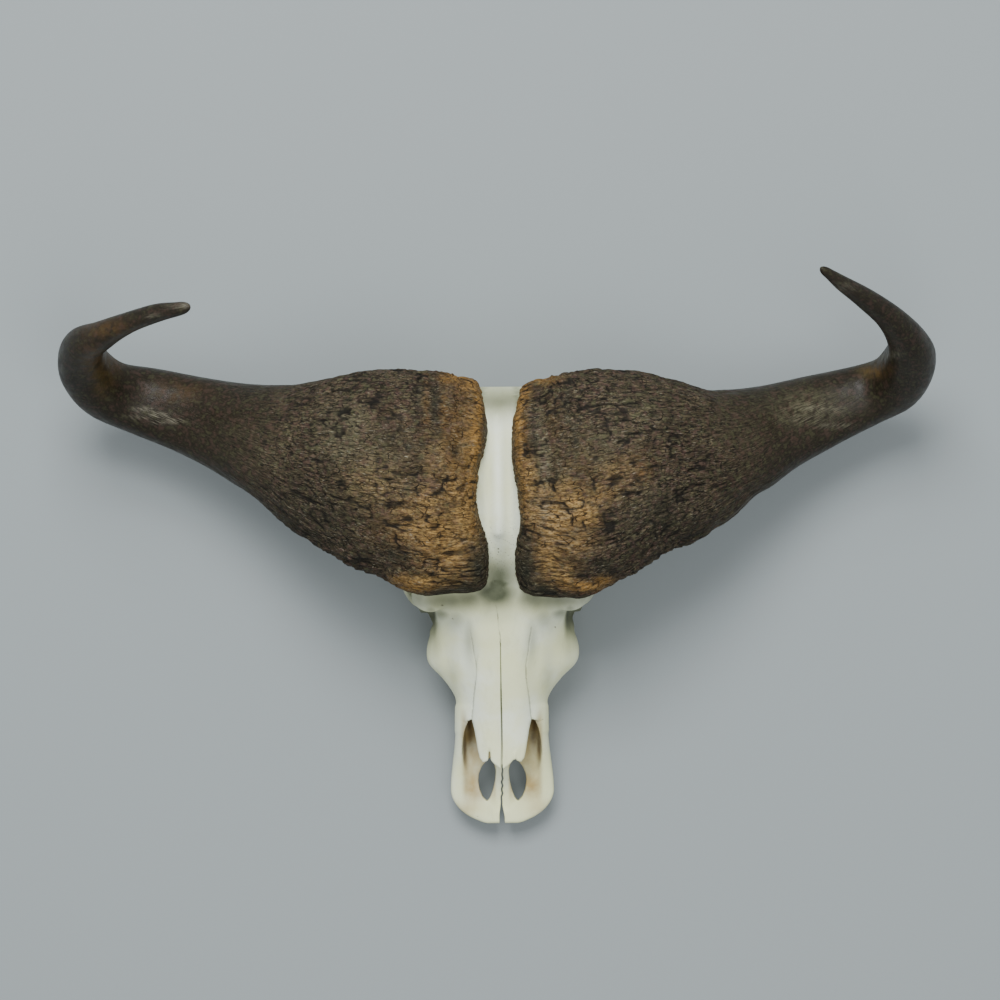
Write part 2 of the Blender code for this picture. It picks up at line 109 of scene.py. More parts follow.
def smooth_rows(rows: Rows | Array, steps: int) -> Array:
    """Fills in the stretches between rows by a Catmull-Rom curve.

    Args:
        rows: rows of numbers, each a point in as many dimensions as it has numbers.
        steps: how many parts each stretch is divided into.

    Returns:
        The filled rows, which start and end on the given ones.
    """
    rows = np.array(rows, float)
    before = np.vstack((2 * rows[0] - rows[1], rows[:-1]))
    after = np.vstack((rows[1:], 2 * rows[-1] - rows[-2]))
    slope = (after - before) / 2
    t = np.linspace(0, 1, steps, endpoint=False)[None, :, None]
    here, there = rows[:-1, None], rows[1:, None]
    out, into = slope[:-1, None], slope[1:, None]
    filled = (
        (2 * t**3 - 3 * t**2 + 1) * here
        + (t**3 - 2 * t**2 + t) * out
        + (3 * t**2 - 2 * t**3) * there
        + (t**3 - t**2) * into
    )
    return np.vstack((filled.reshape(-1, rows.shape[1]), rows[-1:]))


class Grain:
    """Repeatable noise: random values on a lattice, joined by a fifth-degree ease curve."""

    SIZE = 64

    def __init__(self, seed: int) -> None:
        """Fills the lattice from a seed with values from -1 to 1."""
        random = np.random.default_rng(seed)
        self.table = random.random((self.SIZE,) * 3).astype(np.float32) * 2 - 1

    def at(self, x: Array, y: Array, z: Array | float = 0.0, wrap: int = 0) -> Array:
        """The noise at places given in lattice steps.

        Args:
            x: first coordinate.
            y: second coordinate.
            z: third coordinate.
            wrap: steps after which the second coordinate starts again, or 0.

        Returns:
            Values from -1 to 1: the eight corner values weighted by 6t^5 - 15t^4 + 10t^3.
        """
        x, y, z = np.broadcast_arrays(x, y, z)
        cell = [np.floor(axis).astype(np.int64) for axis in (x, y, z)]
        part = [axis - low for axis, low in zip((x, y, z), cell)]
        eased = [t * t * t * (t * (t * 6 - 15) + 10) for t in part]
        total = np.zeros(x.shape)
        for corner in range(8):
            bits = [corner >> axis & 1 for axis in range(3)]
            spot = [low + bit for low, bit in zip(cell, bits)]
            if wrap:
                spot[1] = spot[1] % wrap + 7 * (spot[1] % wrap // self.SIZE)
            weight = np.ones(x.shape)
            for t, bit in zip(eased, bits):
                weight = weight * (t if bit else 1 - t)
            total += weight * self.table[tuple(axis % self.SIZE for axis in spot)]
        return total


def put_mesh(name: str, points: Array, faces: Array) -> Piece:
    """Makes a smooth-shaded mesh object from whole arrays.

    Args:
        name: the piece's name.
        points: places in millimetres in the skull's frame, one row each.
        faces: vertex numbers, one row a face.

    Returns:
        The object, at the origin, with its place in its mesh in metres.
    """
    mesh = bpy.data.meshes.new(name)
    placed = ((np.asarray(points, np.float64) + PLACE) * MM).astype(np.float32)
    faces = np.ascontiguousarray(faces, np.int32)
    mesh.vertices.add(len(placed))
    mesh.vertices.foreach_set("co", placed.ravel())
    mesh.loops.add(faces.size)
    mesh.loops.foreach_set("vertex_index", faces.ravel())
    mesh.polygons.add(len(faces))
    mesh.polygons.foreach_set("loop_start", np.arange(0, faces.size, faces.shape[1], dtype=np.int32))
    mesh.update(calc_edges=True)
    mesh.shade_smooth()
    made = bpy.data.objects.new(name, mesh)
    bpy.context.scene.collection.objects.link(made)
    return made


def set_values(mesh: bpy.types.Mesh, name: str, values: Array) -> None:
    """Stores one number for each vertex as a named attribute that a material can read."""
    layer = mesh.attributes.new(name, "FLOAT", "POINT")
    layer.data.foreach_set("value", np.ascontiguousarray(values, np.float32).ravel())


def mesh_points(mesh: bpy.types.Mesh) -> Array:
    """The mesh's vertices in millimetres in the skull's frame."""
    flat = np.empty(len(mesh.vertices) * 3, np.float32)
    mesh.vertices.foreach_get("co", flat)
    return flat.reshape(-1, 3).astype(float) / MM - PLACE


def weld(mesh: bpy.types.Mesh, within: float) -> None:
    """Merges vertices that lie within a distance in metres, as at a closed end."""
    bm = bmesh.new()
    bm.from_mesh(mesh)
    bmesh.ops.remove_doubles(bm, verts=bm.verts, dist=within)
    bm.to_mesh(mesh)
    bm.free()


def grid_faces(rows: int, columns: int) -> Array:
    """Four-sided faces of a grid whose columns close round, first row first.

    Args:
        rows: rings of vertices.
        columns: vertices in each ring.

    Returns:
        One row of four vertex numbers a face.
    """
    row, column = np.meshgrid(np.arange(rows - 1), np.arange(columns), indexing="ij")
    beside = (column + 1) % columns
    quads = (
        row * columns + column,
        row * columns + beside,
        (row + 1) * columns + beside,
        (row + 1) * columns + column,
    )
    return np.stack(quads, axis=-1).reshape(-1, 4)


# The bone's forms, each with a box and a distance that is below zero inside


@dataclass(frozen=True)
class Loft:
    """A rounded block along y whose section changes from row to row.

    A row is y, lowest, highest, half width at the bottom, at the middle and at the top. The section
    is |x / width|^power + |z / half height|^power = 1, and its width eases from the bottom's to the
    middle's over the lower part of the height, then to the top's.
    """

    rows: Rows
    power: float = 3.0
    end_round: float = 3.0
    lean: Triple = (2.2, -158.0, 46.0)
    middle: float = 0.42

    def box(self) -> Box:
        """Lowest and highest corner."""
        rows = np.array(self.rows, float)
        wide = rows[:, 3:].max() + self.lean[0] + 2
        low = (-wide, rows[:, 0].min(), rows[:, 1].min() - 2)
        high = (wide, rows[:, 0].max(), rows[:, 2].max() + 2)
        return np.array(low), np.array(high)

    def distance(self, x: Array, y: Array, z: Array) -> Array:
        """(r - 1) over the slope of r, with r the section's formula taken to the power's root."""
        rows = smooth_rows(self.rows, 8)
        rows = rows[np.argsort(rows[:, 0])]
        low, high, bottom, mid, top = (np.interp(y, rows[:, 0], rows[:, k]) for k in range(1, 6))
        half = (high - low) / 2
        up = (z - (high + low) / 2) / half
        level = np.clip((up + 1) / 2, 0, 1)
        width = bottom + (mid - bottom) * ease(0, self.middle, level)
        width = (width + (top - mid) * ease(self.middle, 1, level)).astype(np.float32)
        shift, at, over = self.lean
        across = (np.abs(x - shift * np.exp(-(((y - at) / over) ** 2))) / width).astype(np.float32)
        tall = np.abs(up).astype(np.float32)
        across_low, tall_low = across ** (self.power - 1), tall ** (self.power - 1)
        r = (across_low * across + tall_low * tall + 1e-9) ** (1 / self.power)
        slope = np.sqrt((across_low / width) ** 2 + (tall_low / half.astype(np.float32)) ** 2)
        slope = slope * r ** (1 - self.power)
        inside = (r - 1) / np.maximum(slope, 1 / FAR)
        ends = np.maximum(rows[0, 0] - y, y - rows[-1, 0])
        return smooth_most(inside, ends.astype(np.float32), self.end_round)


@dataclass(frozen=True)
class Ellipsoid:
    """A sphere scaled to three radii, turned by degrees about X, then Y, then Z."""

    centre: Triple
    radii: Triple
    turn: Triple = (0, 0, 0)

    def axes(self) -> Array:
        """The turn as a matrix whose columns are the ellipsoid's own axes."""
        made = np.eye(3)
        for axis, degrees in enumerate(self.turn):
            c, s = math.cos(math.radians(degrees)), math.sin(math.radians(degrees))
            first, second = (axis + 1) % 3, (axis + 2) % 3
            spin = np.eye(3)
            spin[first, first] = spin[second, second] = c
            spin[second, first], spin[first, second] = s, -s
            made = spin @ made
        return made

    def box(self) -> Box:
        """Lowest and highest corner."""
        reach = np.sqrt(((self.axes() * np.array(self.radii)) ** 2).sum(axis=1))
        return np.array(self.centre) - reach, np.array(self.centre) + reach

    def distance(self, x: Array, y: Array, z: Array) -> Array:
        """k(k - 1) / m, with k the length of the place in radii and m its length in squared radii."""
        axes = self.axes()
        away = [axis - middle for axis, middle in zip((x, y, z), self.centre)]
        k, m = 0.0, 0.0
        for column, radius in zip(axes.T, self.radii):
            part = (sum(share * axis for share, axis in zip(column, away)) / radius).astype(np.float32)
            k = k + part**2
            m = m + (part / radius) ** 2
        k = np.sqrt(k)
        return k * (k - 1) / np.sqrt(m + 1e-9)


@dataclass(frozen=True)
class Rod:
    """A tapering round bar along points of x, y, z and radius."""

    points: Rows | Array
    steps: int = 4
    closed: bool = False

    def path(self) -> Array:
        """The bar's points with its stretches filled in."""
        if self.closed:
            points = np.array(self.points, float)
            return np.vstack((points, points[:1]))
        return smooth_rows(self.points, self.steps)

    def box(self) -> Box:
        """Lowest and highest corner."""
        path = self.path()
        return (path[:, :3] - path[:, 3:]).min(axis=0), (path[:, :3] + path[:, 3:]).max(axis=0)

    def nearest(self, x: Array, y: Array, z: Array) -> tuple[Array, Array]:
        """Distance to the bar's middle line, and the bar's radius there."""
        best = np.full(np.broadcast(x, y, z).shape, 1e6, np.float32)
        radius = np.ones_like(best)
        path = self.path()
        for a, b in zip(path[:-1], path[1:]):
            step = b[:3] - a[:3]
            t = (x - a[0]) * step[0] + (y - a[1]) * step[1] + (z - a[2]) * step[2]
            t = np.clip(t / (step @ step), 0, 1).astype(np.float32)
            square = (x - a[0] - t * step[0]) ** 2
            square = square + (y - a[1] - t * step[1]) ** 2 + (z - a[2] - t * step[2]) ** 2
            here = a[3] + t * (b[3] - a[3])
            closer = np.sqrt(square) - here < best - radius
            best = np.where(closer, np.sqrt(square), best).astype(np.float32)
            radius = np.where(closer, here, radius).astype(np.float32)
        return best, radius

    def distance(self, x: Array, y: Array, z: Array) -> Array:
        """Distance to the middle line less the radius there."""
        best, radius = self.nearest(x, y, z)
        return best - radius


@dataclass(frozen=True)
class Prism:
    """An upright block between two heights, whose outline seen from above is a closed line."""

    outline: Rows
    low: float
    high: float
    mirror: bool = False

    def box(self) -> Box:
        """Lowest and highest corner."""
        outline = np.array(self.outline, float)
        low, high = outline.min(axis=0), outline.max(axis=0)
        if self.mirror:
            low[0] = -high[0]
        return np.array((*low, self.low)), np.array((*high, self.high))

    def plan(self, x: Array, y: Array) -> Array:
        """Distance seen from above to the outline, below zero inside it."""
        x = np.abs(x) if self.mirror else x
        best = np.full(np.broadcast(x, y).shape, 1e6)
        inside = np.zeros(best.shape, bool)
        for (ax, ay), (bx, by) in zip(self.outline, self.outline[1:] + self.outline[:1]):
            t = ((x - ax) * (bx - ax) + (y - ay) * (by - ay)) / ((bx - ax) ** 2 + (by - ay) ** 2)
            t = np.clip(t, 0, 1)
            best = np.minimum(best, np.hypot(x - ax - t * (bx - ax), y - ay - t * (by - ay)))
            if ay != by:
                inside ^= ((ay > y) != (by > y)) & (x < (bx - ax) * (y - ay) / (by - ay) + ax)
        return np.where(inside, -best, best).astype(np.float32)

    def distance(self, x: Array, y: Array, z: Array) -> Array:
        """The greatest of the distances to the outline and to the two heights."""
        return np.maximum(self.plan(x, y), np.maximum(self.low - z, z - self.high))


@dataclass(frozen=True)
class Sheet:
    """A thin arched plate on both sides of the midline.

    A row is y, the height of the top at the midline, the thickness, and how far the top has fallen
    at 30 mm from the midline, where it falls with the cube of that distance.
    """

    outline: Rows
    rows: Rows
    edge_round: float = 2.0

    def box(self) -> Box:
        """Lowest and highest corner."""
        low, high = Prism(self.outline, 0, 0, mirror=True).box()
        rows = np.array(self.rows, float)
        low[2], high[2] = (rows[:, 1] - rows[:, 2] - rows[:, 3]).min(), rows[:, 1].max()
        return low, high

    def distance(self, x: Array, y: Array, z: Array) -> Array:
        """The distance to the plate's middle surface less half its thickness, within the outline."""
        rows = smooth_rows(self.rows, 6)
        rows = rows[np.argsort(rows[:, 0])]
        top, thick, fall = (np.interp(y, rows[:, 0], rows[:, k]) for k in range(1, 4))
        middle = top - fall * (np.abs(x) / 30) ** 3 - thick / 2
        slab = (np.abs(z - middle) - thick / 2) * 0.9
        plan = Prism(self.outline, 0, 0, mirror=True).plan(x, y)
        return smooth_most(slab.astype(np.float32), plan, self.edge_round)


def plan_distance(x: Array, y: Array, line: Rows) -> Array:
    """Distance seen from above to a line of straight stretches.

    Args:
        x: places across.
        y: places along.
        line: points of x, y and, if there is a third number, the line's half width there.

    Returns:
        The distance to the line's middle, less its half width.
    """
    points = np.array([(*point[:2], point[2] if len(point) > 2 else 0.0) for point in line], float)
    best = np.full(np.broadcast(x, y).shape, 1e6)
    for a, b in zip(points[:-1], points[1:]):
        step = b - a
        t = np.clip(((x - a[0]) * step[0] + (y - a[1]) * step[1]) / (step[0] ** 2 + step[1] ** 2), 0, 1)
        away = np.hypot(x - a[0] - t * step[0], y - a[1] - t * step[1])
        best = np.minimum(best, away - a[2] - t * step[2])
    return best


def spots(x: Array, y: Array, places: Rows) -> Array:
    """The strongest of several soft oval patches seen from above.

    Args:
        x: places across.
        y: places along.
        places: rows of x, y, half width, half length and strength.

    Returns:
        The greatest of strength * exp(-r^2), with r the distance from the middle in half sizes.
    """
    total = np.zeros(np.broadcast(x, y).shape)
    for middle_x, middle_y, wide, long, strength in places:
        away = ((x - middle_x) / wide) ** 2 + ((y - middle_y) / long) ** 2
        total = np.maximum(total, strength * np.exp(-away))
    return total


def smooth_least(a: Array, b: Array, blend: float) -> Array:
    """The lesser of two fields, rounded off where they are within a blend of each other."""
    share = np.clip(0.5 + 0.5 * (b - a) / blend, 0, 1)
    return b + (a - b) * share - blend * share * (1 - share)


def smooth_most(a: Array, b: Array, blend: float) -> Array:
    """The greater of two fields, rounded off where they are within a blend of each other."""
    return -smooth_least(-a, -b, blend)


def grid_lines(low: float, high: float, coarse: float, fine: float, places: Rows) -> Array:
    """Lines across a range that crowd together at some spots.

    Args:
        low: the range's start.
        high: the range's end.
        coarse: the usual space between lines.
        fine: the space at a spot.
        places: rows of a spot and how far its fine lines reach.

    Returns:
        The places of the lines: the density of lines is summed along the range, and a line stands
        wherever the sum passes a whole number.
    """
    place = np.linspace(low, high, 4000)
    near = np.zeros(place.shape)
    for spot, reach in places:
        near = np.maximum(near, 1 - ease(reach, 2 * reach + 3, np.abs(place - spot)))
    density = 1 / (coarse + (fine - coarse) * near)
    total = running_total((density[1:] + density[:-1]) / 2 * np.diff(place))
    return np.interp(np.arange(0, total[-1]), total, place).astype(np.float32)


class Field:
    """A block of space that holds, at each crossing of its grid lines, the distance to the bone."""

    def __init__(self, x: Array, y: Array, z: Array) -> None:
        """Starts with nothing in the block."""
        self.lines = (x, y, z)
        self.value = np.full((len(x), len(y), len(z)), FAR, np.float32)

    def window(self, box: Box, margin: float) -> tuple[tuple[slice, ...], list[Array]]:
        """The part of the block round a box, as slices and as lines that broadcast."""
        cuts, axes = [], []
        for axis, (lines, low, high) in enumerate(zip(self.lines, *box)):
            start = max(int(np.searchsorted(lines, low - margin)) - 1, 0)
            end = int(np.searchsorted(lines, high + margin)) + 1
            cuts.append(slice(start, end))
            shape = [1, 1, 1]
            shape[axis] = -1
            axes.append(lines[start:end].reshape(shape))
        return tuple(cuts), axes

    def add(self, shape: Loft | Ellipsoid | Rod | Sheet, blend: float) -> None:
        """Joins a form to the bone, with a fillet about as wide as the blend."""
        cut, axes = self.window(shape.box(), blend + 4)
        self.value[cut] = smooth_least(self.value[cut], shape.distance(*axes), blend)

    def take(self, shape: Loft | Ellipsoid | Rod | Prism, blend: float) -> None:
        """Hollows a form out of the bone, with its edge rounded about as wide as the blend."""
        cut, axes = self.window(shape.box(), blend + 4)
        self.value[cut] = smooth_most(self.value[cut], -shape.distance(*axes), blend)

    def engrave(self, line: Rows, depth: float, lowest: float) -> None:
        """Cuts a groove along a line seen from above, a depth into every surface over a height."""
        points = np.array(line, float)
        low, high = points[:, :2].min(axis=0) - 2, points[:, :2].max(axis=0) + 2
        cut, (x, y, _) = self.window(((*low, lowest), (*high, self.lines[2][-1])), 0)
        plan = -plan_distance(x, y, line).astype(np.float32)
        self.value[cut] = np.maximum(self.value[cut], np.minimum(plan, self.value[cut] + depth))

    def press(self, line: Rows, depth: float) -> None:
        """Sinks the surface along a line by depth times a bell curve, or raises it if depth is negative."""
        rod = Rod(line)
        cut, axes = self.window(rod.box(), rod.path()[:, 3].max() * 1.2)
        best, radius = rod.nearest(*axes)
        self.value[cut] += (depth * np.exp(-((best / radius) ** 2))).astype(np.float32)

    def top(self) -> Array:
        """The highest surface of each column of the block, or -FAR where the column is empty."""
        inside = self.value < 0
        some = inside.any(axis=2)
        last = inside.shape[2] - 1 - inside[:, :, ::-1].argmax(axis=2)
        last = np.minimum(last, inside.shape[2] - 2)
        here = np.take_along_axis(self.value, last[..., None], 2)[..., 0]
        above = np.take_along_axis(self.value, last[..., None] + 1, 2)[..., 0]
        z = self.lines[2]
        height = z[last] + (z[last + 1] - z[last]) * here / np.minimum(here - above, -1e-6)
        return np.where(some, height, -FAR)

    def skin(self) -> tuple[Array, Array]:
        """The surface where the field is zero, as places and four-sided faces.

        Each grid cell that the surface passes through gets one vertex, the mean of the places where
        the surface crosses the cell's edges. Each grid edge that it crosses gets one face, through
        the vertices of the four cells round that edge.
        """
        value = self.value
        inside = value < 0
        count = np.zeros(tuple(n - 1 for n in inside.shape), np.uint8)
        for corner in range(8):
            i, j, k = corner & 1, corner >> 1 & 1, corner >> 2 & 1
            count += inside[i : i - 1 or None, j : j - 1 or None, k : k - 1 or None]
        cells = np.argwhere((count > 0) & (count < 8))
        number = np.full(count.shape, -1, np.int32)
        number[tuple(cells.T)] = np.arange(len(cells))
        total = np.zeros((len(cells), 3))
        hits = np.zeros(len(cells))
        for axis in range(3):
            for corner in range(4):
                start = cells.copy()
                start[:, (axis + 1) % 3] += corner & 1
                start[:, (axis + 2) % 3] += corner >> 1
                end = start.copy()
                end[:, axis] += 1
                a, b = value[tuple(start.T)], value[tuple(end.T)]
                crossed = (a < 0) != (b < 0)
                t = np.where(crossed, a / np.where(crossed, a - b, 1), 0)
                low = np.stack([self.lines[n][start[:, n]] for n in range(3)], axis=1)
                high = np.stack([self.lines[n][end[:, n]] for n in range(3)], axis=1)
                total += np.where(crossed[:, None], low + t[:, None] * (high - low), 0)
                hits += crossed
        faces = []
        for axis in range(3):
            b, c = (axis + 1) % 3, (axis + 2) % 3
            lower, upper = [slice(1, -1)] * 3, [slice(1, -1)] * 3
            lower[axis], upper[axis] = slice(None, -1), slice(1, None)
            leaving = inside[tuple(lower)] & ~inside[tuple(upper)]
            entering = ~inside[tuple(lower)] & inside[tuple(upper)]
            for crossed, turned in ((leaving, False), (entering, True)):
                edge = np.argwhere(crossed)
                edge[:, b] += 1
                edge[:, c] += 1
                ring = []
                for back_b, back_c in ((1, 1), (0, 1), (0, 0), (1, 0)):
                    cell = edge.copy()
                    cell[:, b] -= back_b
                    cell[:, c] -= back_c
                    ring.append(number[tuple(cell.T)])
                faces.append(np.stack(ring[::-1] if turned else ring, axis=1))
        return total / hits[:, None], np.vstack(faces)


# Materials


class Recipe:
    """A Principled material and short ways to add the nodes that feed it."""

    def __init__(self, name: str) -> None:
        """Makes the material with its shader and the Object coordinates."""
        self.material = bpy.data.materials.new(name)
        self.material.use_nodes = True
        self.nodes = self.material.node_tree.nodes
        self.shader = self.nodes["Principled BSDF"]
        self.place = self.nodes.new("ShaderNodeTexCoord").outputs["Object"]

    def link(self, socket: Socket, value: Feed) -> None:
        """Feeds a socket from another socket, or sets it to a number or a colour."""
        if isinstance(value, Socket):
            self.material.node_tree.links.new(value, socket)
        elif isinstance(value, tuple) and socket.type == "RGBA":
            socket.default_value = (*value, 1)
        else:
            socket.default_value = value

    def node(self, kind: str, feeds: dict, out: str | int = 0, **settings: object) -> Socket:
        """Adds a node with its settings and feeds.

        Args:
            kind: the node's kind, without the words that all shader nodes share.
            feeds: a value for each socket, by the socket's name or number.
            out: the output that is wanted.
            **settings: the node's own settings.

        Returns:
            The output.
        """
        made = self.nodes.new("ShaderNode" + kind)
        for name, value in settings.items():
            setattr(made, name, value)
        for socket, value in feeds.items():
            self.link(made.inputs[socket], value)
        return made.outputs[out]

    def noise(
        self, scale: float, detail: float = 3.0, rough: float = 0.55, vector: Feed = 0, twist: float = 0.0
    ) -> Socket:
        """Noise from 0 to 1 with a number of waves a metre."""
        waves = {"Scale": scale, "Detail": detail, "Roughness": rough, "Distortion": twist}
        return self.node("TexNoise", {"Vector": vector or self.place, **waves}, "Fac")

    def cells(self, scale: float, vector: Feed = 0, feature: str = "F1") -> Socket:
        """Distance to the nearest of scattered points, or to the edge between their cells."""
        feeds = {"Vector": vector or self.place, "Scale": scale}
        return self.node("TexVoronoi", feeds, "Distance", feature=feature)

    def math(self, operation: str, a: Feed, b: Feed = 0.0, clamp: bool = False) -> Socket:
        """One step of arithmetic on two numbers."""
        return self.node("Math", {0: a, 1: b}, operation=operation, use_clamp=clamp)

    def times(self, a: Feed, b: Feed) -> Socket:
        """The product of two numbers."""
        return self.math("MULTIPLY", a, b)

    def most(self, a: Feed, b: Feed) -> Socket:
        """The greater of two numbers."""
        return self.math("MAXIMUM", a, b)

    def span(self, value: Feed, low: float, high: float, start: float = 0.0, end: float = 1.0) -> Socket:
        """Maps the range from low to high smoothly onto start to end."""
        feeds = dict(enumerate((value, low, high, start, end)))
        return self.node("MapRange", feeds, interpolation_type="SMOOTHSTEP")

    def mix(self, share: Feed, first: Feed, second: Feed) -> Socket:
        """A colour between two colours."""
        return self.node("Mix", {0: share, 6: first, 7: second}, 2, data_type="RGBA")

    def attribute(self, name: str) -> Socket:
        """A number that the mesh holds for each vertex."""
        return self.node("Attribute", {}, "Fac", attribute_name=name)

    def broken(self, name: str, noise: Socket, *span: float) -> Socket:
        """A patch that the mesh places, broken up by noise mapped over a span."""
        return self.times(self.attribute(name), self.span(noise, *span))

    def stretched(self, vector: Feed, scale: Triple) -> Socket:
        """Coordinates stretched along each axis."""
        return self.node("Mapping", {"Vector": vector, "Scale": scale})

    def scattered(self, scale: float, reach: float) -> Socket:
        """The Object coordinates, each place moved about by noise of a scale, at most half a reach."""
        color = self.node("TexNoise", {"Vector": self.place, "Scale": scale}, "Color")
        moved = self.vector("SCALE", self.vector("SUBTRACT", color, (0.5, 0.5, 0.5)), reach)
        return self.vector("ADD", self.place, moved)

    def vector(self, operation: str, a: Feed, b: Feed, out: int = 0) -> Socket:
        """One step of arithmetic on two vectors, or on a vector and a scale."""
        second = "Scale" if operation == "SCALE" else 1
        return self.node("VectorMath", {0: a, second: b}, out, operation=operation)

    def stroke(self, place: Socket, line: Rows, half: float, soft: float) -> Socket:
        """A share that is 1 on a line seen from above and eases to 0 beside it.

        Args:
            place: the coordinates, in metres.
            line: the line's points, x and y in millimetres in the skull's frame.
            half: half the line's width in millimetres.
            soft: width of the ease in millimetres.

        Returns:
            The greatest share of the line's stretches: each eases down over the distance from the
            place to the nearest point of the stretch.
        """
        flat = self.vector("MULTIPLY", place, (1, 1, 0))
        best = None
        for start, end in zip(line[:-1], line[1:]):
            a = (np.array((*start, 0)) + PLACE) * MM
            step = (np.array((*end, 0)) - np.array((*start, 0))) * MM
            away = self.vector("SUBTRACT", flat, tuple(a))
            part = self.vector("DOT_PRODUCT", away, tuple(step / (step @ step)), 1)
            along = self.math("ADD", part, 0.0, True)
            nearest = self.vector("SCALE", tuple(step), along)
            apart = self.vector("LENGTH", self.vector("SUBTRACT", away, nearest), (0, 0, 0), 1)
            share = self.span(apart, half * MM, (half + soft) * MM, 1.0, 0.0)
            best = share if best is None else self.most(best, share)
        return best

    def bump(
        self, height: Feed, distance: float, strength: float = 1.0, under: Socket | None = None
    ) -> Socket:
        """A normal bent by a height, whose full range stands for a distance in metres."""
        feeds = {"Height": height, "Distance": distance, "Strength": strength}
        if under is not None:
            feeds["Normal"] = under
        return self.node("Bump", feeds)

    def dress(self, color: Feed, roughness: Feed, normal: Socket | None = None) -> Material:
        """Feeds the shader and gives the material."""
        for name, value in (("Base Color", color), ("Roughness", roughness), ("Normal", normal)):
            if value is not None:
                self.link(self.shader.inputs[name], value)
        return self.material


@dataclass(frozen=True)
class BoneFinish:
    """Bleached bone: ivory, painted shade with an olive stain in the hollows, tan where grease stayed in the
    nose, and brown there that is partly stain and partly painted shadow.
    """

    clean: Triple = (0.67, 0.725, 0.60)
    warm: Triple = (0.60, 0.625, 0.35)
    # Olive grey: painted shade with an olive stain in the hollows, and faint random streaks and specks.
    shade: Triple = (0.048, 0.056, 0.030)
    tan: Triple = (0.32, 0.232, 0.090)
    # Brown: stain in the nose, partly painted shadow at its apex and along its outer wall.
    brown: Triple = (0.060, 0.031, 0.008)
    crack: Triple = (0.05, 0.045, 0.028)
    roughness: float = 0.6
    shine: float = 0.25
    hairline: Rows = ((-4.6, -112), (-3.1, -123), (-2.1, -135), (-0.6, -147), (-0.3, -156))
    side_lines: tuple[Rows, ...] = (
        ((-33, -138), (-30.5, -150), (-29.5, -161), (-26.8, -178), (-27.2, -192), (-30, -213), (-32.6, -238)),
        ((33, -136), (30.5, -150), (29.5, -161), (26.8, -178), (27.2, -192), (30, -213), (32.6, -238)),
        ((-36, -239.2), (-39, -241), (-45, -239)),
        ((35.5, -239.2), (40, -241), (45, -239.6)),
    )
    dots: tuple[Rows, ...] = (
        ((-62.6, -111.5), (-61.4, -112)),
        ((-51.2, -126.3), (-50.6, -127)),
        ((58.4, -137), (59, -137.8)),
        ((-1.8, -51), (-1.2, -51.4)),
        ((-1.5, -55), (-1.2, -55.2)),
    )

    def material(self) -> Material:
        """Ivory varied at three scales, tinted by the mesh's stain and painted-shade numbers, with pores and
        fine seams.
        """
        r = Recipe("bleached_bone")
        broad = r.noise(11.0, 4.0)
        cloudy = r.noise(60.0, 5.0, 0.6)
        speck = r.noise(380.0, 4.0, 0.65)
        color = r.mix(r.span(broad, 0.42, 0.62, 0.0, 0.75), self.clean, self.warm)
        color = r.mix(r.times(r.attribute("warm"), 0.9), color, self.warm)
        color = r.mix(r.span(cloudy, 0.5, 0.75, 0.0, 0.3), color, self.warm)
        # Painted shade with an olive stain: the hollow between the bosses, the brow under them, the poll, the
        # eye sockets and the grooves beside the nose.
        color = r.mix(r.broken("shade", cloudy, 0.3, 0.6, 0.96, 1.0), color, self.shade)
        color = r.mix(r.broken("tan", r.noise(45.0, 4.0), 0.25, 0.65, 0.6, 1.0), color, self.tan)
        # Brown in the nose: partly stain, partly painted shadow along its outer wall and at the apex of the
        # opening.
        color = r.mix(r.broken("brown", cloudy, 0.2, 0.6, 0.7, 1.0), color, self.brown)
        streak = r.noise(9.0, 5.0, 0.6, r.stretched(r.place, (14.0, 2.0, 9.0)))
        color = r.mix(r.span(streak, 0.5, 0.75, 0.0, 0.10), color, self.shade)
        porous = r.times(r.span(r.cells(420.0), 0.05, 0.22, 1.0, 0.0), r.attribute("pores"))
        color = r.mix(r.times(porous, 0.75), color, self.crack)
        color = r.mix(r.span(speck, 0.56, 0.76, 0.0, 0.10), color, self.shade)
        ragged = r.scattered(260.0, 0.0022)
        seams = r.times(r.stroke(ragged, self.hairline, 0.15, 0.75), 0.55)
        for line in self.side_lines:
            seams = r.most(seams, r.times(r.stroke(ragged, line, 0.1, 0.8), 0.36))
        seams = r.times(seams, r.span(cloudy, 0.38, 0.58, 0.2, 1.0))
        seams = r.most(seams, r.times(r.attribute("crack"), 0.85))
        for line in self.dots:
            seams = r.most(seams, r.times(r.stroke(ragged, line, 0.2, 0.6), 0.7))
        color = r.mix(seams, color, self.crack)
        grain = r.math("ADD", r.noise(700.0, 4.0, 0.6), r.times(cloudy, 0.5))
        normal = r.bump(grain, 0.00022, 0.7)
        normal = r.bump(r.times(porous, -1.0), 0.0006, 1.0, normal)
        normal = r.bump(r.times(seams, -1.0), 0.0007, 1.0, normal)
        rough = r.span(cloudy, 0.2, 0.8, self.roughness - 0.08, self.roughness + 0.12)
        r.shader.inputs["Specular IOR Level"].default_value = self.shine
        return r.dress(color, rough, normal)


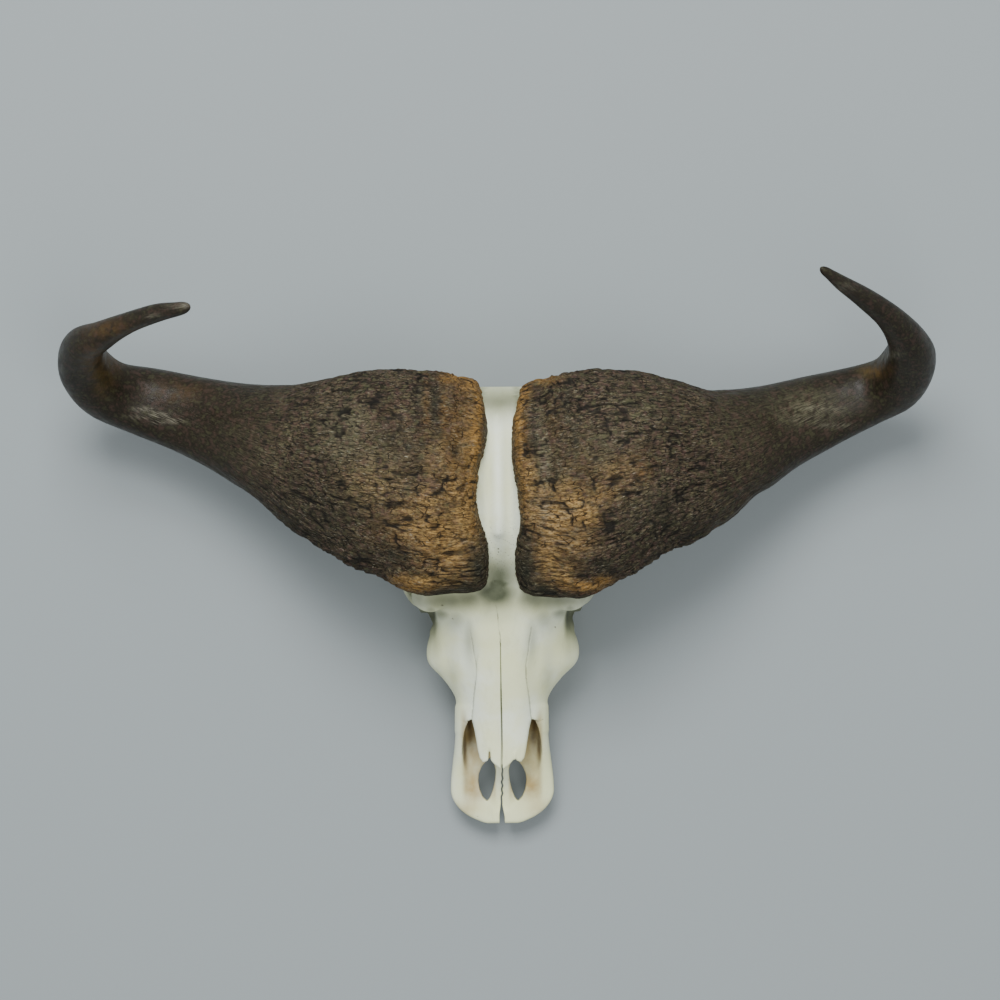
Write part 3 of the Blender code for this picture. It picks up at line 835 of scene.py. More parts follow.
@dataclass(frozen=True)
class HornFinish:
    """Horn: near black to brown, crusty and cracked on the boss, tan by its rim, satin on the hook."""

    # Near black for the horn, and for painted shade in its creases and cracks.
    dark: Triple = (0.004, 0.0035, 0.0025)
    brown: Triple = (0.036, 0.027, 0.015)
    hook: Triple = (0.0085, 0.0070, 0.0042)
    # Pale crust, partly a painted highlight on its tops.
    pale: Triple = (0.118, 0.090, 0.050)
    olive: Triple = (0.118, 0.115, 0.066)
    # Grey for painted highlights along the fibres and for scuffs.
    grey: Triple = (0.25, 0.235, 0.175)
    tan: Triple = (0.43, 0.275, 0.092)
    rust: Triple = (0.110, 0.060, 0.018)
    orange: Triple = (0.28, 0.155, 0.038)
    # Near black: painted shade on the bosses' lower front edges, and dark bands in the horn.
    dark_and_painted_shade: Triple = (0.010, 0.011, 0.006)
    amber: Triple = (0.060, 0.042, 0.013)
    plum: Triple = (0.068, 0.038, 0.030)
    moss: Triple = (0.062, 0.064, 0.030)
    shine: float = 0.13

    def material(self, name: str) -> Material:
        """Crust and broken fibres over patches that the mesh places, with painted shade in the creases and
        cracks and painted highlights on the crust and fibres.
        """
        r = Recipe(name)
        along = r.node("UVMap", {}, "UV", uv_map="strand")
        boss = r.attribute("boss")
        height = r.attribute("relief")
        patch = r.noise(30.0, 4.0, 0.6)
        mottle = r.noise(95.0, 5.0, 0.62)
        crust = r.noise(1.0, 6.0, 0.74, r.stretched(along, (190.0, 300.0, 1.0)), 0.25)
        fibre = r.noise(1.0, 5.0, 0.62, r.stretched(along, (75.0, 300.0, 1.0)), 0.9)
        thread = r.noise(1.0, 4.0, 0.62, r.stretched(along, (170.0, 950.0, 1.0)), 0.6)
        edges = r.cells(1.0, r.stretched(along, (75.0, 210.0, 1.0)), "DISTANCE_TO_EDGE")

        color = r.mix(r.span(fibre, 0.38, 0.62), self.dark, self.brown)
        color = r.mix(r.span(boss, 0.0, 0.6, 0.85, 0.0), color, self.hook)
        # Painted highlight, partly pale crust: the crust's tops are lightened where light catches them.
        lit = r.times(r.span(crust, 0.48, 0.61), r.span(patch, 0.35, 0.60, 0.2, 1.0))
        color = r.mix(r.times(lit, r.span(boss, 0.1, 0.9, 0.12, 0.8)), color, self.pale)
        tint = r.noise(150.0, 3.0, 0.6)
        spread = r.span(boss, 0.0, 1.0, 0.5, 1.0)
        color = r.mix(r.times(r.span(tint, 0.50, 0.66, 0.0, 0.6), spread), color, self.plum)
        color = r.mix(r.times(r.span(tint, 0.46, 0.34, 0.0, 0.5), spread), color, self.moss)

        share = r.times(r.broken("olive", mottle, 0.36, 0.6, 0.1, 1.0), r.span(fibre, 0.35, 0.6, 0.2, 1.0))
        color = r.mix(share, color, self.olive)
        warm = r.mix(r.span(crust, 0.38, 0.6), self.rust, self.tan)
        share = r.times(r.broken("tan", mottle, 0.32, 0.56, 0.4, 1.0), r.span(fibre, 0.3, 0.55, 0.5, 1.0))
        color = r.mix(share, color, warm)
        color = r.mix(r.broken("rust", mottle, 0.36, 0.6, 0.15, 1.0), color, self.rust)
        rim = r.mix(r.span(crust, 0.35, 0.6), self.rust, self.orange)
        color = r.mix(r.broken("rim", mottle, 0.3, 0.55, 0.3, 1.0), color, rim)
        # Painted shade, partly dark horn: the bosses' lower front edges are darkened where shade falls, with
        # dark bands elsewhere on the boss.
        dark_and_painted_shade = r.mix(r.span(crust, 0.54, 0.74), self.dark_and_painted_shade, self.olive)
        color = r.mix(r.broken("dark_and_painted_shade", mottle, 0.3, 0.65, 1.0, 0.75), color, dark_and_painted_shade)
        color = r.mix(r.broken("amber", mottle, 0.35, 0.6, 0.3, 0.9), color, self.amber)

        # Painted highlight: grey threads along the fibres where light catches them.
        light = r.times(r.span(thread, 0.57, 0.70), r.span(patch, 0.3, 0.6, 0.25, 0.85))
        color = r.mix(r.times(light, r.span(boss, 0.0, 0.8, 0.08, 0.8)), color, self.grey)
        # Scuffs, partly a painted highlight on top of the beams.
        color = r.mix(r.broken("scuff_and_painted_highlight", fibre, 0.42, 0.66), color, self.grey)
        # Painted shade: the cracks, the gaps between the fibres and the deep creases of the relief are
        # darkened.
        split = r.times(r.span(edges, 0.01, 0.07, 1.0, 0.0), r.span(mottle, 0.42, 0.6))
        dark = r.most(r.span(thread, 0.44, 0.3, 0.0, 0.8), r.times(split, 0.85))
        dark = r.times(dark, r.span(boss, 0.0, 0.8, 0.15, 1.0))
        dark = r.most(dark, r.span(height, 0.42, 0.12, 0.0, 0.92))
        color = r.mix(dark, color, self.dark)

        fine = r.math("ADD", r.times(fibre, 0.55), r.times(crust, 0.45))
        fine = r.math("SUBTRACT", fine, r.times(split, 0.35))
        fine = r.times(fine, r.span(boss, 0.0, 1.0, 0.10, 1.0))
        normal = r.bump(fine, 0.0024, 1.0)
        ticks = r.times(thread, r.span(boss, 0.0, 1.0, 0.2, 1.0))
        normal = r.bump(ticks, 0.0006, 0.8, normal)
        rough = r.span(boss, 0.0, 1.0, 0.36, 0.66)
        rough = r.math("ADD", rough, r.span(mottle, 0.3, 0.7, -0.06, 0.1))
        r.shader.inputs["Specular IOR Level"].default_value = self.shine
        return r.dress(color, rough, normal)


@dataclass(frozen=True)
class ToothFinish:
    """Cheek teeth: cream enamel, brown stain towards the gum and in the grooves of the chewing face."""

    enamel: Triple = (0.62, 0.55, 0.40)
    cement: Triple = (0.38, 0.28, 0.15)
    stain: Triple = (0.09, 0.05, 0.025)

    def material(self) -> Material:
        """Enamel streaked up the crown, stained where the mesh is hollow."""
        r = Recipe("tooth_enamel")
        streak = r.noise(1.0, 4.0, 0.6, r.stretched(r.place, (900.0, 900.0, 60.0)))
        cloud = r.noise(90.0, 4.0, 0.6)
        color = r.mix(r.span(streak, 0.35, 0.7), self.enamel, self.cement)
        color = r.mix(r.broken("hollow", cloud, 0.2, 0.6, 0.6, 1.0), color, self.stain)
        normal = r.bump(streak, 0.0003, 0.6)
        return r.dress(color, r.span(cloud, 0.3, 0.7, 0.28, 0.45), normal)


# The teeth


@dataclass(frozen=True)
class TeethRow:
    """The six cheek teeth of one side.

    A girth is a height on the crown and the share of its full size there. The heights of ribs,
    grooves and notches are shares of the crown's half width, and the depths of the chewing face's
    ridge and rim are in millimetres.
    """

    side: Side
    names: tuple[str, ...] = ("premolar_2", "premolar_3", "premolar_4", "molar_1", "molar_2", "molar_3")
    lengths: tuple[float, ...] = (18, 20, 20, 25, 28, 30)
    widths: tuple[float, ...] = (17, 20, 22, 24, 25, 24)
    start: float = -233.0
    middle_x: float = 36.0
    spread: float = 13.0
    reach: float = 146.0
    space: float = 0.8
    height: float = 25.0
    around: int = 96
    squareness: float = 0.6
    side_levels: tuple[float, ...] = (0.8, 1.6, 3.0, 6.0, 10.0, 14.0, 18.0, 22.0, 24.2, 25.0)
    face_rings: tuple[float, ...] = (0.0, 0.3, 0.45, 0.58, 0.68, 0.77, 0.85, 0.91, 0.955)
    girths: Rows = ((0.8, 0.955), (1.6, 0.99), (6.0, 1.0), (22.0, 0.95), (25.0, 0.9))
    lobe_at: float = 0.48
    rib_height: float = 0.055
    groove_depth: float = 0.16
    notch_depth: float = 0.07
    ridge_depth: float = 2.6
    rim_depth: float = 0.9

    def centre_x(self, y: Array | float) -> Array | float:
        """Distance of the row's middle from the midline: it opens along a quarter of a sine wave."""
        return self.middle_x + self.spread * np.sin((y - self.start) / self.reach * math.pi / 2)

    def places(self) -> Iterator[tuple[str, float, float, float]]:
        """Name, middle y, length and width of each tooth, from the front to the back."""
        start = self.start
        for name, length, width in zip(self.names, self.lengths, self.widths):
            yield name, start + length / 2, length, width
            start += length + self.space

    def build(self, finish: Material) -> Iterator[Piece]:
        """Makes, dresses and declares each tooth of the row."""
        for name, middle, length, width in self.places():
            tooth = self.crown(f"{self.side.word}_{name}", middle, length, width, name.startswith("molar"))
            tooth.data.materials.append(finish)
            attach(tooth, "root")
            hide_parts(tooth.name.removesuffix("_crown"))
            yield tooth

    def crown(self, name: str, middle: float, length: float, width: float, double: bool) -> Piece:
        """One tooth: rings up its sides and rings in over its chewing face.

        The section is a rounded block, |cos|^0.6 across and |sin|^0.6 along. Ribs stand on the cheek
        side as a cosine of the place along it, and a groove parts the two lobes on the tongue side.
        The face sinks between its enamel ridges by bell curves round the middle of each lobe.
        """
        angle = np.linspace(0, math.tau, self.around, endpoint=False)[None, :]
        lengthwise = blunt(np.sin(angle), self.squareness)
        crosswise = blunt(np.cos(angle), self.squareness)
        lobes = 2 if double else 1
        cheek = ease(0.1, 0.9, crosswise)
        tongue = ease(0.1, 0.9, -crosswise)
        rib = self.rib_height * cheek * np.cos(lobes * math.tau * lengthwise)
        groove = self.groove_depth * tongue * hump(lengthwise, 0, 0.22) * (lobes - 1)
        notch = self.notch_depth * cheek * hump(lengthwise, 0, 0.14) * (lobes - 1)
        outline = 1 + rib - groove - notch
        up = np.array(self.side_levels)[:, None]
        girth = np.interp(up, *zip(*self.girths))
        wave = 1 + (outline - 1) * np.interp(up, (0, 20, 25), (1, 0.8, 0.2))
        rings = np.array(self.face_rings)[:, None]
        face_across = rings * crosswise * outline
        face_along = rings * lengthwise
        sink = np.zeros(face_across.shape)
        for lobe in (-self.lobe_at, self.lobe_at) if double else (0.0,):
            away = np.hypot((face_along - lobe) / (0.5 if double else 0.8), face_across / 0.85)
            ridge = hump(face_across + 0.22 * (1 - away**2), 0.0, 0.13)
            sink += self.ridge_depth * ridge * ease(0.85, 0.5, away) + self.rim_depth * hump(away, 0.8, 0.16)
        sink = sink * ease(0.955, 0.8, rings) + np.where(rings > 0.94, 0.25, 0.0)
        level = 0 * angle
        across = np.vstack((face_across, girth * crosswise * wave, level))
        along = np.vstack((face_along, girth * lengthwise, level))
        height = np.vstack((sink, up + level, up[-1:] + level))
        sign = self.side.value
        x = sign * (self.centre_x(middle) + width / 2 * across)
        y = middle + length / 2 * along
        points = np.stack((x, y, height), axis=-1)
        faces = grid_faces(len(points), self.around)[:, ::-sign]
        made = put_mesh(name + "_crown", points.reshape(-1, 3), faces)
        hollow = np.vstack((np.clip(sink / 2.2, 0, 1), 0.7 * ease(12, 25, up + level), 0.7 + level))
        set_values(made.data, "hollow", hollow)
        weld(made.data, WELD)
        made.data.shade_smooth()
        return made


# The skull


@dataclass
class Skull:
    """The bone of the face and the braincase, one piece, with its hollows and seams.

    Seams are rows of x, y and half width. Painted shades, with an olive stain, and warmths are rows of x, y,
    half width, half length and strength. An outline of two columns is seen from above, on one side of the
    midline.
    """

    grain: float = 1.35
    fine_grain: float = 0.5
    triangles: int = 190_000
    low: Triple = (-124.0, -360.0, -3.0)
    high: Triple = (126.0, 124.0, 212.0)
    field: Field | None = field(default=None, repr=False)
    face: Rows = (
        (-252, 31, 90, 46, 50, 40), (-236, 30, 101, 46, 50, 34), (-215, 28, 114, 47, 51, 31),
        (-195, 26, 126, 53, 64, 32), (-178, 25, 134, 58, 80, 35), (-163, 24, 141, 61, 83, 40),
        (-146, 24, 150, 61, 79, 48), (-132, 25, 157, 60, 72.5, 56), (-120, 27, 164, 60, 75, 64),
        (-108, 29, 170, 61, 80, 71), (-85, 34, 182, 60, 88, 84), (-60, 42, 191, 50, 78, 92),
        (-45, 52, 190, 40, 56, 80),
    )
    cranium: Rows = (
        (-80, 66, 178, 34, 46, 60), (-50, 54, 195, 44, 52, 92), (-20, 50, 202, 50, 56, 96),
        (20, 48, 206, 56, 62, 94), (60, 48, 207, 60, 66, 90), (90, 50, 204, 62, 70, 84),
        (102, 74, 200, 60, 70, 80), (112, 104, 194, 60, 68, 72), (119, 128, 184, 52, 58, 58),
    )
    occiput: Rows = (
        (78, 62, 186, 60, 66, 56), (92, 56, 191, 74, 86, 66), (102, 70, 190, 74, 86, 66),
        (111, 100, 187, 74, 82, 62), (118, 128, 180, 60, 66, 54),
    )
    muzzle: Rows = (
        (-225, 33, 104, 46, 50, 34), (-248, 31, 93, 48, 50.5, 42), (-270, 29, 77, 50, 52, 46),
        (-290, 27, 60, 53, 54.5, 50), (-310, 25, 47, 55, 56.5, 54), (-325, 24, 40, 55, 56, 54),
        (-338, 24, 37, 48, 49, 47), (-348, 25, 35, 36, 37, 35), (-356, 27, 33, 19, 20, 18),
    )
    nasal_outline: Rows = (
        (-2, -158), (23, -160), (26.5, -176), (27, -190), (30, -213), (32.6, -237.5), (29.7, -249),
        (27.8, -261), (26.3, -271), (24.3, -280), (20.5, -285), (15.2, -282.5), (14, -270), (13.1, -270),
        (12.2, -282), (8.6, -286.5), (4.5, -289.5), (1.5, -292), (-2, -292.5),
    )
    nasal_rows: Rows = (
        (-158, 142.5, 10, 10), (-178, 133.8, 10, 9.5), (-195, 126, 11, 9.5), (-215, 116.5, 11, 10.5),
        (-236, 106.5, 9.5, 11), (-256, 99, 7.5, 10), (-276, 93, 6.5, 9), (-293, 88.5, 5.5, 8),
    )
    nose_outline: Rows = (
        (-2, -242), (29, -243), (31.5, -239), (34.2, -238), (37, -241.5), (40, -249), (41.8, -259),
        (43, -271), (43.6, -284), (40, -298), (32, -314), (-2, -326),
    )
    orbit_notches: tuple[Rows, Rows] = (
        (
            (-79, -121), (-76, -127.5), (-73.2, -133.5), (-76, -139.4), (-79, -145.8), (-80.5, -152),
            (-104, -152), (-104, -121.5), (-83, -121.5),
        ),
        (
            (80.5, -122), (78.6, -126), (78, -129.5), (79.3, -134), (82.5, -142.8), (85, -150.6),
            (106, -150), (106, -122.5), (83.5, -122),
        ),
    )
    fissure_outline: Rows = (
        (12.8, -283), (17.5, -287), (22.5, -293), (25.8, -301), (26.6, -308.5), (25.2, -318),
        (21.8, -326.5), (17, -331.5), (13.6, -327.5), (10.4, -319), (8.2, -309), (7.1, -298),
        (8.6, -291.5),
    )
    nasal_cavity: Rows = (
        (-342, 33.5, 64, 8, 13, 22), (-330, 33, 72, 14, 26, 38), (-314, 33, 82, 22, 38, 47),
        (-296, 34, 90, 31, 42, 46), (-270, 36, 92, 37, 42, 42), (-246, 38, 90, 36, 39, 34),
        (-225, 40, 96, 32, 34, 26), (-180, 44, 106, 26, 28, 20), (-130, 48, 110, 18, 20, 14),
    )
    nasal_seam: Rows = (
        (-0.3, -152, 0.3), (-0.4, -180, 0.45), (-0.3, -211, 0.7), (0, -250, 0.85), (0, -270, 0.9),
        (-0.5, -285, 0.9), (-0.3, -300, 1.3),
    )
    side_seam: Rows = (
        (33, -140, 0.1), (29.5, -161, 0.3), (26.8, -178, 0.25), (27.2, -192, 0.3), (30, -213, 0.4),
        (32.6, -240, 0.55),
    )
    cross_seam: Rows = (
        (35.5, -239.2, 0.5), (38.5, -240.8, 0.45), (42.5, -239.6, 0.3),
    )
    muzzle_crack: Rows = (
        (0.2, -292), (0.4, -298), (-0.4, -302.5), (0.5, -306.7), (-0.9, -310.8), (0.3, -314.6),
        (-1.0, -319), (0.1, -323.2), (-1.3, -327.3), (-1.0, -332.8), (-1.2, -338),
    )
    muzzle_gap: Rows = (
        (-1.3, -334, 0.5), (-1.1, -341, 1.8), (-0.8, -350.5, 3.3), (-0.4, -358, 3.4),
    )
    # Painted shade with an olive stain: under the bosses, in the hollow between them, on the poll, beside the
    # horns' edges and in the grooves of the face.
    olive_stains_and_painted_shades: Rows = (
        (-5, -99, 29, 20, 1.12), (0, -82, 25, 28, 0.97), (-2, -89, 17, 11, 1.2), (2, -62, 14, 26, 0.60),
        (-58, -106, 46, 13, 0.79), (60, -106, 46, 13, 0.79), (-32, -105, 30, 14, 0.82),
        (34, -105, 30, 14, 0.82), (-86, -104, 13, 14, 0.66), (86, -104, 13, 14, 0.66),
        (-74, -116, 8, 5, 0.66), (74, -116, 8, 5, 0.66), (-64, -122, 12, 6, 0.62),
        (64, -122, 12, 6, 0.62), (-48, -126, 10, 15, 0.42), (47, -126, 10, 15, 0.42),
        (-34, -150, 6, 26, 0.38), (33, -150, 6, 26, 0.36), (-72, -148, 6, 24, 0.36),
        (74, -148, 6, 24, 0.34), (-52, -200, 6, 34, 0.30), (51, -200, 6, 34, 0.28),
        (3, 104, 60, 18, 0.84), (-18, 106, 7, 24, 0.90), (20, 106, 7, 24, 0.88), (-18, -10, 4, 60, 0.26),
        (17, -10, 4, 60, 0.24),
    )
    warmths: Rows = (
        (0, -138, 34, 44, 0.9), (-68, -150, 18, 24, 0.9), (68, -150, 18, 24, 0.9), (0, -112, 90, 20, 0.9),
        (9, 20, 7, 80, 0.7), (-11, 20, 7, 80, 0.7), (0, 104, 40, 22, 0.8), (0, -335, 60, 22, 0.7),
        (-45, -300, 12, 40, 0.7), (45, -300, 12, 40, 0.7), (-46, -220, 8, 40, 0.6),
        (46, -220, 8, 40, 0.6),
    )
    choana: Rows = (
        (-112, 44, 62, 12, 14, 10), (-84, 36, 72, 17, 18, 14), (-52, 20, 62, 19, 19, 15),
        (-24, 10, 50, 20, 20, 16),
    )

    def shape(self) -> None:
        """Fills the field: bodies joined, hollows taken out, low relief pressed in."""
        seams = ((0.0, 4.0), (-30.0, 4.0), (30.0, 4.0))
        axes = zip(self.low, self.high, (seams, (), ()))
        lines = [grid_lines(low, high, self.grain, self.fine_grain, places) for low, high, places in axes]
        self.field = Field(*lines)
        self.add_bodies()
        self.press_relief()
        self.take_hollows()
        self.field.add(Sheet(self.nasal_outline, self.nasal_rows), 1.5)
        self.field.add(Ellipsoid((13.6, -272, 90.0), (2.6, 10, 3.4)), 0.8)
        self.cut_seams()
        self.cut_sockets()

    def add_bodies(self) -> None:
        """Joins the block-like bodies, the bars and the rounded knobs of the bone."""
        bone = self.field
        for rows in (self.face, self.cranium, self.occiput, self.muzzle):
            bone.add(Loft(rows), 5.0)
        bone.add(Rod(((0, -70, 70, 14), (0, 0, 58, 17), (0, 60, 52, 20), (0, 104, 54, 22))), 8.0)
        for side in Side:
            s = side.value
            arch = (
                (s * 70, -132, 80, 11), (s * 82, -102, 82, 12), (s * 94, -64, 82, 11),
                (s * 102, -24, 84, 9), (s * 100, 18, 90, 9), (s * 86, 50, 96, 11), (s * 66, 66, 100, 12),
            )
            bar = ((s * 98, -42, 152, 9), (s * 103, -38, 122, 8), (s * 101, -38, 86, 9))
            process = (
                (s * 64, 92, 88, 15), (s * 60, 95, 56, 13), (s * 56, 97, 26, 10), (s * 53, 98, -12, 6.5),
            )
            gum_ends = ((-236, 36, 11), (-214, 39, 12), (-160, 45, 14), (-88, 49, 15))
            gum = tuple((s * x, y, 20 + radius, radius) for y, x, radius in gum_ends)
            bone.add(Rod(self.eye_ring(s), closed=True), 6.0)
            bone.add(Rod(arch), 7.0)
            bone.add(Rod(bar), 5.0)
            bone.add(Rod(process), 7.0)
            bone.add(Rod(gum), 8.0)
            bone.add(Ellipsoid((s * 25, 100, 60), (17, 17, 23), (0, s * 20, 0)), 5.0)
            bone.add(Ellipsoid((s * 38, 54, 48), (14, 19, 16)), 4.0)
            bone.add(Ellipsoid((s * 22, -54, 52), (4.5, 26, 26)), 5.0)
            bone.add(Ellipsoid((s * 78, 74, 92), (16, 16, 14)), 6.0)
            bone.add(Ellipsoid((s * 76, -99, 147), (18, 20, 9), (0, s * 22, s * -15)), 14.0)

    def eye_ring(self, s: int) -> Array:
        """Points of an eye socket's raised rim: a circle whose face looks out, forward and up."""
        centre = np.array((s * 94.0, -74.0, 124.0))
        face = unit(np.array((s * 0.92, -0.25, 0.3)))
        forward = unit(np.array((0.0, -1.0, 0.0)) + face * face[1])
        up = np.cross(face, forward)
        turn = np.linspace(0, math.tau, 24, endpoint=False)[:, None]
        ring = centre + 33 * np.cos(turn) * forward + 32 * np.sin(turn) * up
        return np.hstack((ring, np.full((24, 1), 8.5)))

    def press_relief(self) -> None:
        """Sinks the broad hollows of the face and raises its soft ridges."""
        bone = self.field
        bone.press(((0, -62, 194, 30), (0, -92, 182, 24)), 3.0)
        bone.press(((-3, -82, 186, 12), (-5, -102, 178, 13)), 4.0)
        bone.press(((-1, -34, 203, 8), (-1, 30, 208, 7), (-1, 86, 204, 7)), -4.0)
        for side in Side:
            s = side.value
            groove = (
                (s * 54, -116, 163, 12), (s * 45, -146, 146, 12), (s * 39, -172, 133, 11),
                (s * 36, -205, 116, 8),
            )
            bone.press(groove, 4.0)
            bone.press(((s * 70, -126, 152, 6), (s * 64, -148, 144, 9), (s * 58, -168, 132, 9)), -2.0)
            bone.press(((s * 88, -116, 150, 5), (s * 72, -121, 158, 6), (s * 50, -120, 166, 8)), 1.8)

    def take_hollows(self) -> None:
        """Hollows out the nose, the throat, the palate, the braincase's opening and the eye sockets."""
        bone = self.field
        bone.take(Loft(self.nasal_cavity, end_round=6.0), 3.0)
        bone.take(Loft(self.choana), 3.0)
        bone.take(Ellipsoid((0, -160, 8), (28, 92, 26)), 6.0)
        bone.take(Ellipsoid((0, 118, 78), (17, 60, 15)), 3.0)
        bone.take(Ellipsoid((0, -292, 12), (38, 52, 18)), 4.0)
        bone.take(Prism(self.nose_outline, 60, 140, mirror=True), 2.0)
        bone.take(Prism(self.fissure_outline, -10, 62, mirror=True), 1.2)
        for side in Side:
            s = side.value
            bone.take(Ellipsoid((s * 98, -77, 126), (46, 27, 27), (0, s * -16, s * -12)), 3.0)
            bone.take(Rod(((s * 44, -208, 62, 3.4), (s * 60, -220, 58, 4.0))), 2.0)
        for outline in self.orbit_notches:
            bone.take(Prism(outline, 34, 190), 1.5)

    def cut_seams(self) -> None:
        """Cuts the seams of the nasal bones and the jagged gap between the two halves of the muzzle."""
        bone = self.field
        bone.engrave(self.nasal_seam, 9.0, 80)
        bone.engrave(self.muzzle_gap, 60.0, 10)
        bone.engrave(tuple((*point, 0.7) for point in self.muzzle_crack), 7.0, 20)
        for side in Side:
            s = side.value
            for seam in (self.side_seam, self.cross_seam):
                bone.engrave(tuple((s * x, y, half) for x, y, half in seam), 0.9, 80)

    def cut_sockets(self) -> None:
        """Cuts the sockets of the teeth, a little larger than the crowns."""
        bone = self.field
        for side in Side:
            row = TeethRow(side)
            for _, middle, length, width in row.places():
                centre = (side.value * row.centre_x(middle), middle, 0.0)
                reach = np.array((width / 2 + 0.5, length / 2 + 0.5, row.height + 0.5))
                cut, (x, y, z) = bone.window((centre - reach, centre + reach), 3.0)
                across = (np.abs(x - centre[0]) / reach[0]) ** 3.3 + (np.abs(y - middle) / reach[1]) ** 3.3
                inside = np.maximum((across ** (1 / 3.3) - 1) * reach[0], z - reach[2])
                bone.value[cut] = np.maximum(bone.value[cut], -inside)

    def build(self, finish: Material) -> Piece:
        """Cuts the bone off at its resting plane, draws and thins its skin and stores its stains and its
        painted shade.
        """
        self.shape()
        self.field.value = np.maximum(self.field.value, -self.field.lines[2])
        points, faces = self.field.skin()
        made = put_mesh("skull_bone", points, faces)
        thin = made.modifiers.new("thin", "DECIMATE")
        thin.ratio = min(1.0, self.triangles / (2 * len(faces)))
        bpy.context.view_layer.update()
        mesh = bpy.data.meshes.new_from_object(made.evaluated_get(bpy.context.evaluated_depsgraph_get()))
        made.modifiers.clear()
        made.data = mesh
        mesh.shade_smooth()
        self.stain(mesh)
        mesh.materials.append(finish)
        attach(made, "root")
        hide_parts("skull")
        return made

    def stain(self, mesh: bpy.types.Mesh) -> None:
        """Stores where shade is painted on the bone with an olive stain, and where it is warm, tan, brown
        (partly painted shadow) or porous, from each vertex's place.
        """
        x, y, z = mesh_points(mesh).T
        wide = np.abs(x)
        nose = ease(-336, -318, y) * ease(-220, -237, y) * ease(46, 40, wide) * ease(5.5, 9, wide)
        below_roof = ease(92, 76, z) * ease(20, 32, z)
        corner = 0.5 * hump(y, -340, 11) * hump(wide, 40, 14) + 0.35 * hump(wide, 31, 9) * hump(y, -318, 16)
        deeper = 0.66 + 0.32 * ease(-300, -255, y)
        set_values(mesh, "tan", np.clip(deeper * nose * below_roof + corner, 0, 1))
        # Brown: partly stain, partly painted shadow at the apex of the nose's opening and along its outer
        # wall.
        apex = spots(wide, y, ((35.4, -246, 4.4, 13, 1.0), (34.5, -258, 5.0, 14, 0.8)))
        wall = spots(wide, y, ((40.6, -272, 3.0, 22, 0.9), (36, -262, 5, 14, 0.6)))
        brown = np.maximum(apex, wall) * ease(102, 94, z) * ease(-237, -241, y)
        set_values(mesh, "brown", np.clip(brown, 0, 1))
        away = plan_distance(x, y, tuple((*point, 0.3) for point in self.muzzle_crack))
        set_values(mesh, "crack", ease(0.8, 0.0, away))
        # Painted shade with an olive stain: the spots of the table, the eye socket beside the cheek and the
        # orbit under the bosses.
        shade = spots(x, y, self.olive_stains_and_painted_shades) * ease(60, 100, z)
        socket = ease(66, 72, wide) * ease(130, 112, z) * hump(y, -126, 26)
        within = ease(62, 74, wide) * hump(y, -80, 24) * ease(150, 138, z)
        set_values(mesh, "shade", np.clip(np.maximum(shade, np.maximum(socket, 0.6 * within)), 0, 1))
        set_values(mesh, "warm", spots(x, y, self.warmths))
        set_values(mesh, "pores", np.clip(hump(y, -50, 32) * ease(40, 12, wide) * ease(150, 190, z), 0, 1))

    def height_over(self, x: Array, y: Array) -> Array:
        """The bone's highest surface at places seen from above, or -FAR beside the bone."""
        top = self.field.top()
        cells, shares, outside = [], [], False
        for place, lines in zip((x, y), self.field.lines):
            cell = np.clip(np.searchsorted(lines, place) - 1, 0, len(lines) - 2)
            cells.append(cell)
            shares.append(np.clip((place - lines[cell]) / (lines[cell + 1] - lines[cell]), 0, 1))
            outside = outside | (place < lines[0]) | (place > lines[-1])
        (i, j), (s, t) = cells, shares
        corners = top[i, j], top[i + 1, j], top[i, j + 1], top[i + 1, j + 1]
        near = corners[0] * (1 - s) + corners[1] * s
        far = corners[2] * (1 - s) + corners[3] * s
        beside = np.minimum.reduce(corners) <= -FAR + 1
        return np.where(beside | outside, -FAR, near * (1 - t) + far * t)


# The horns


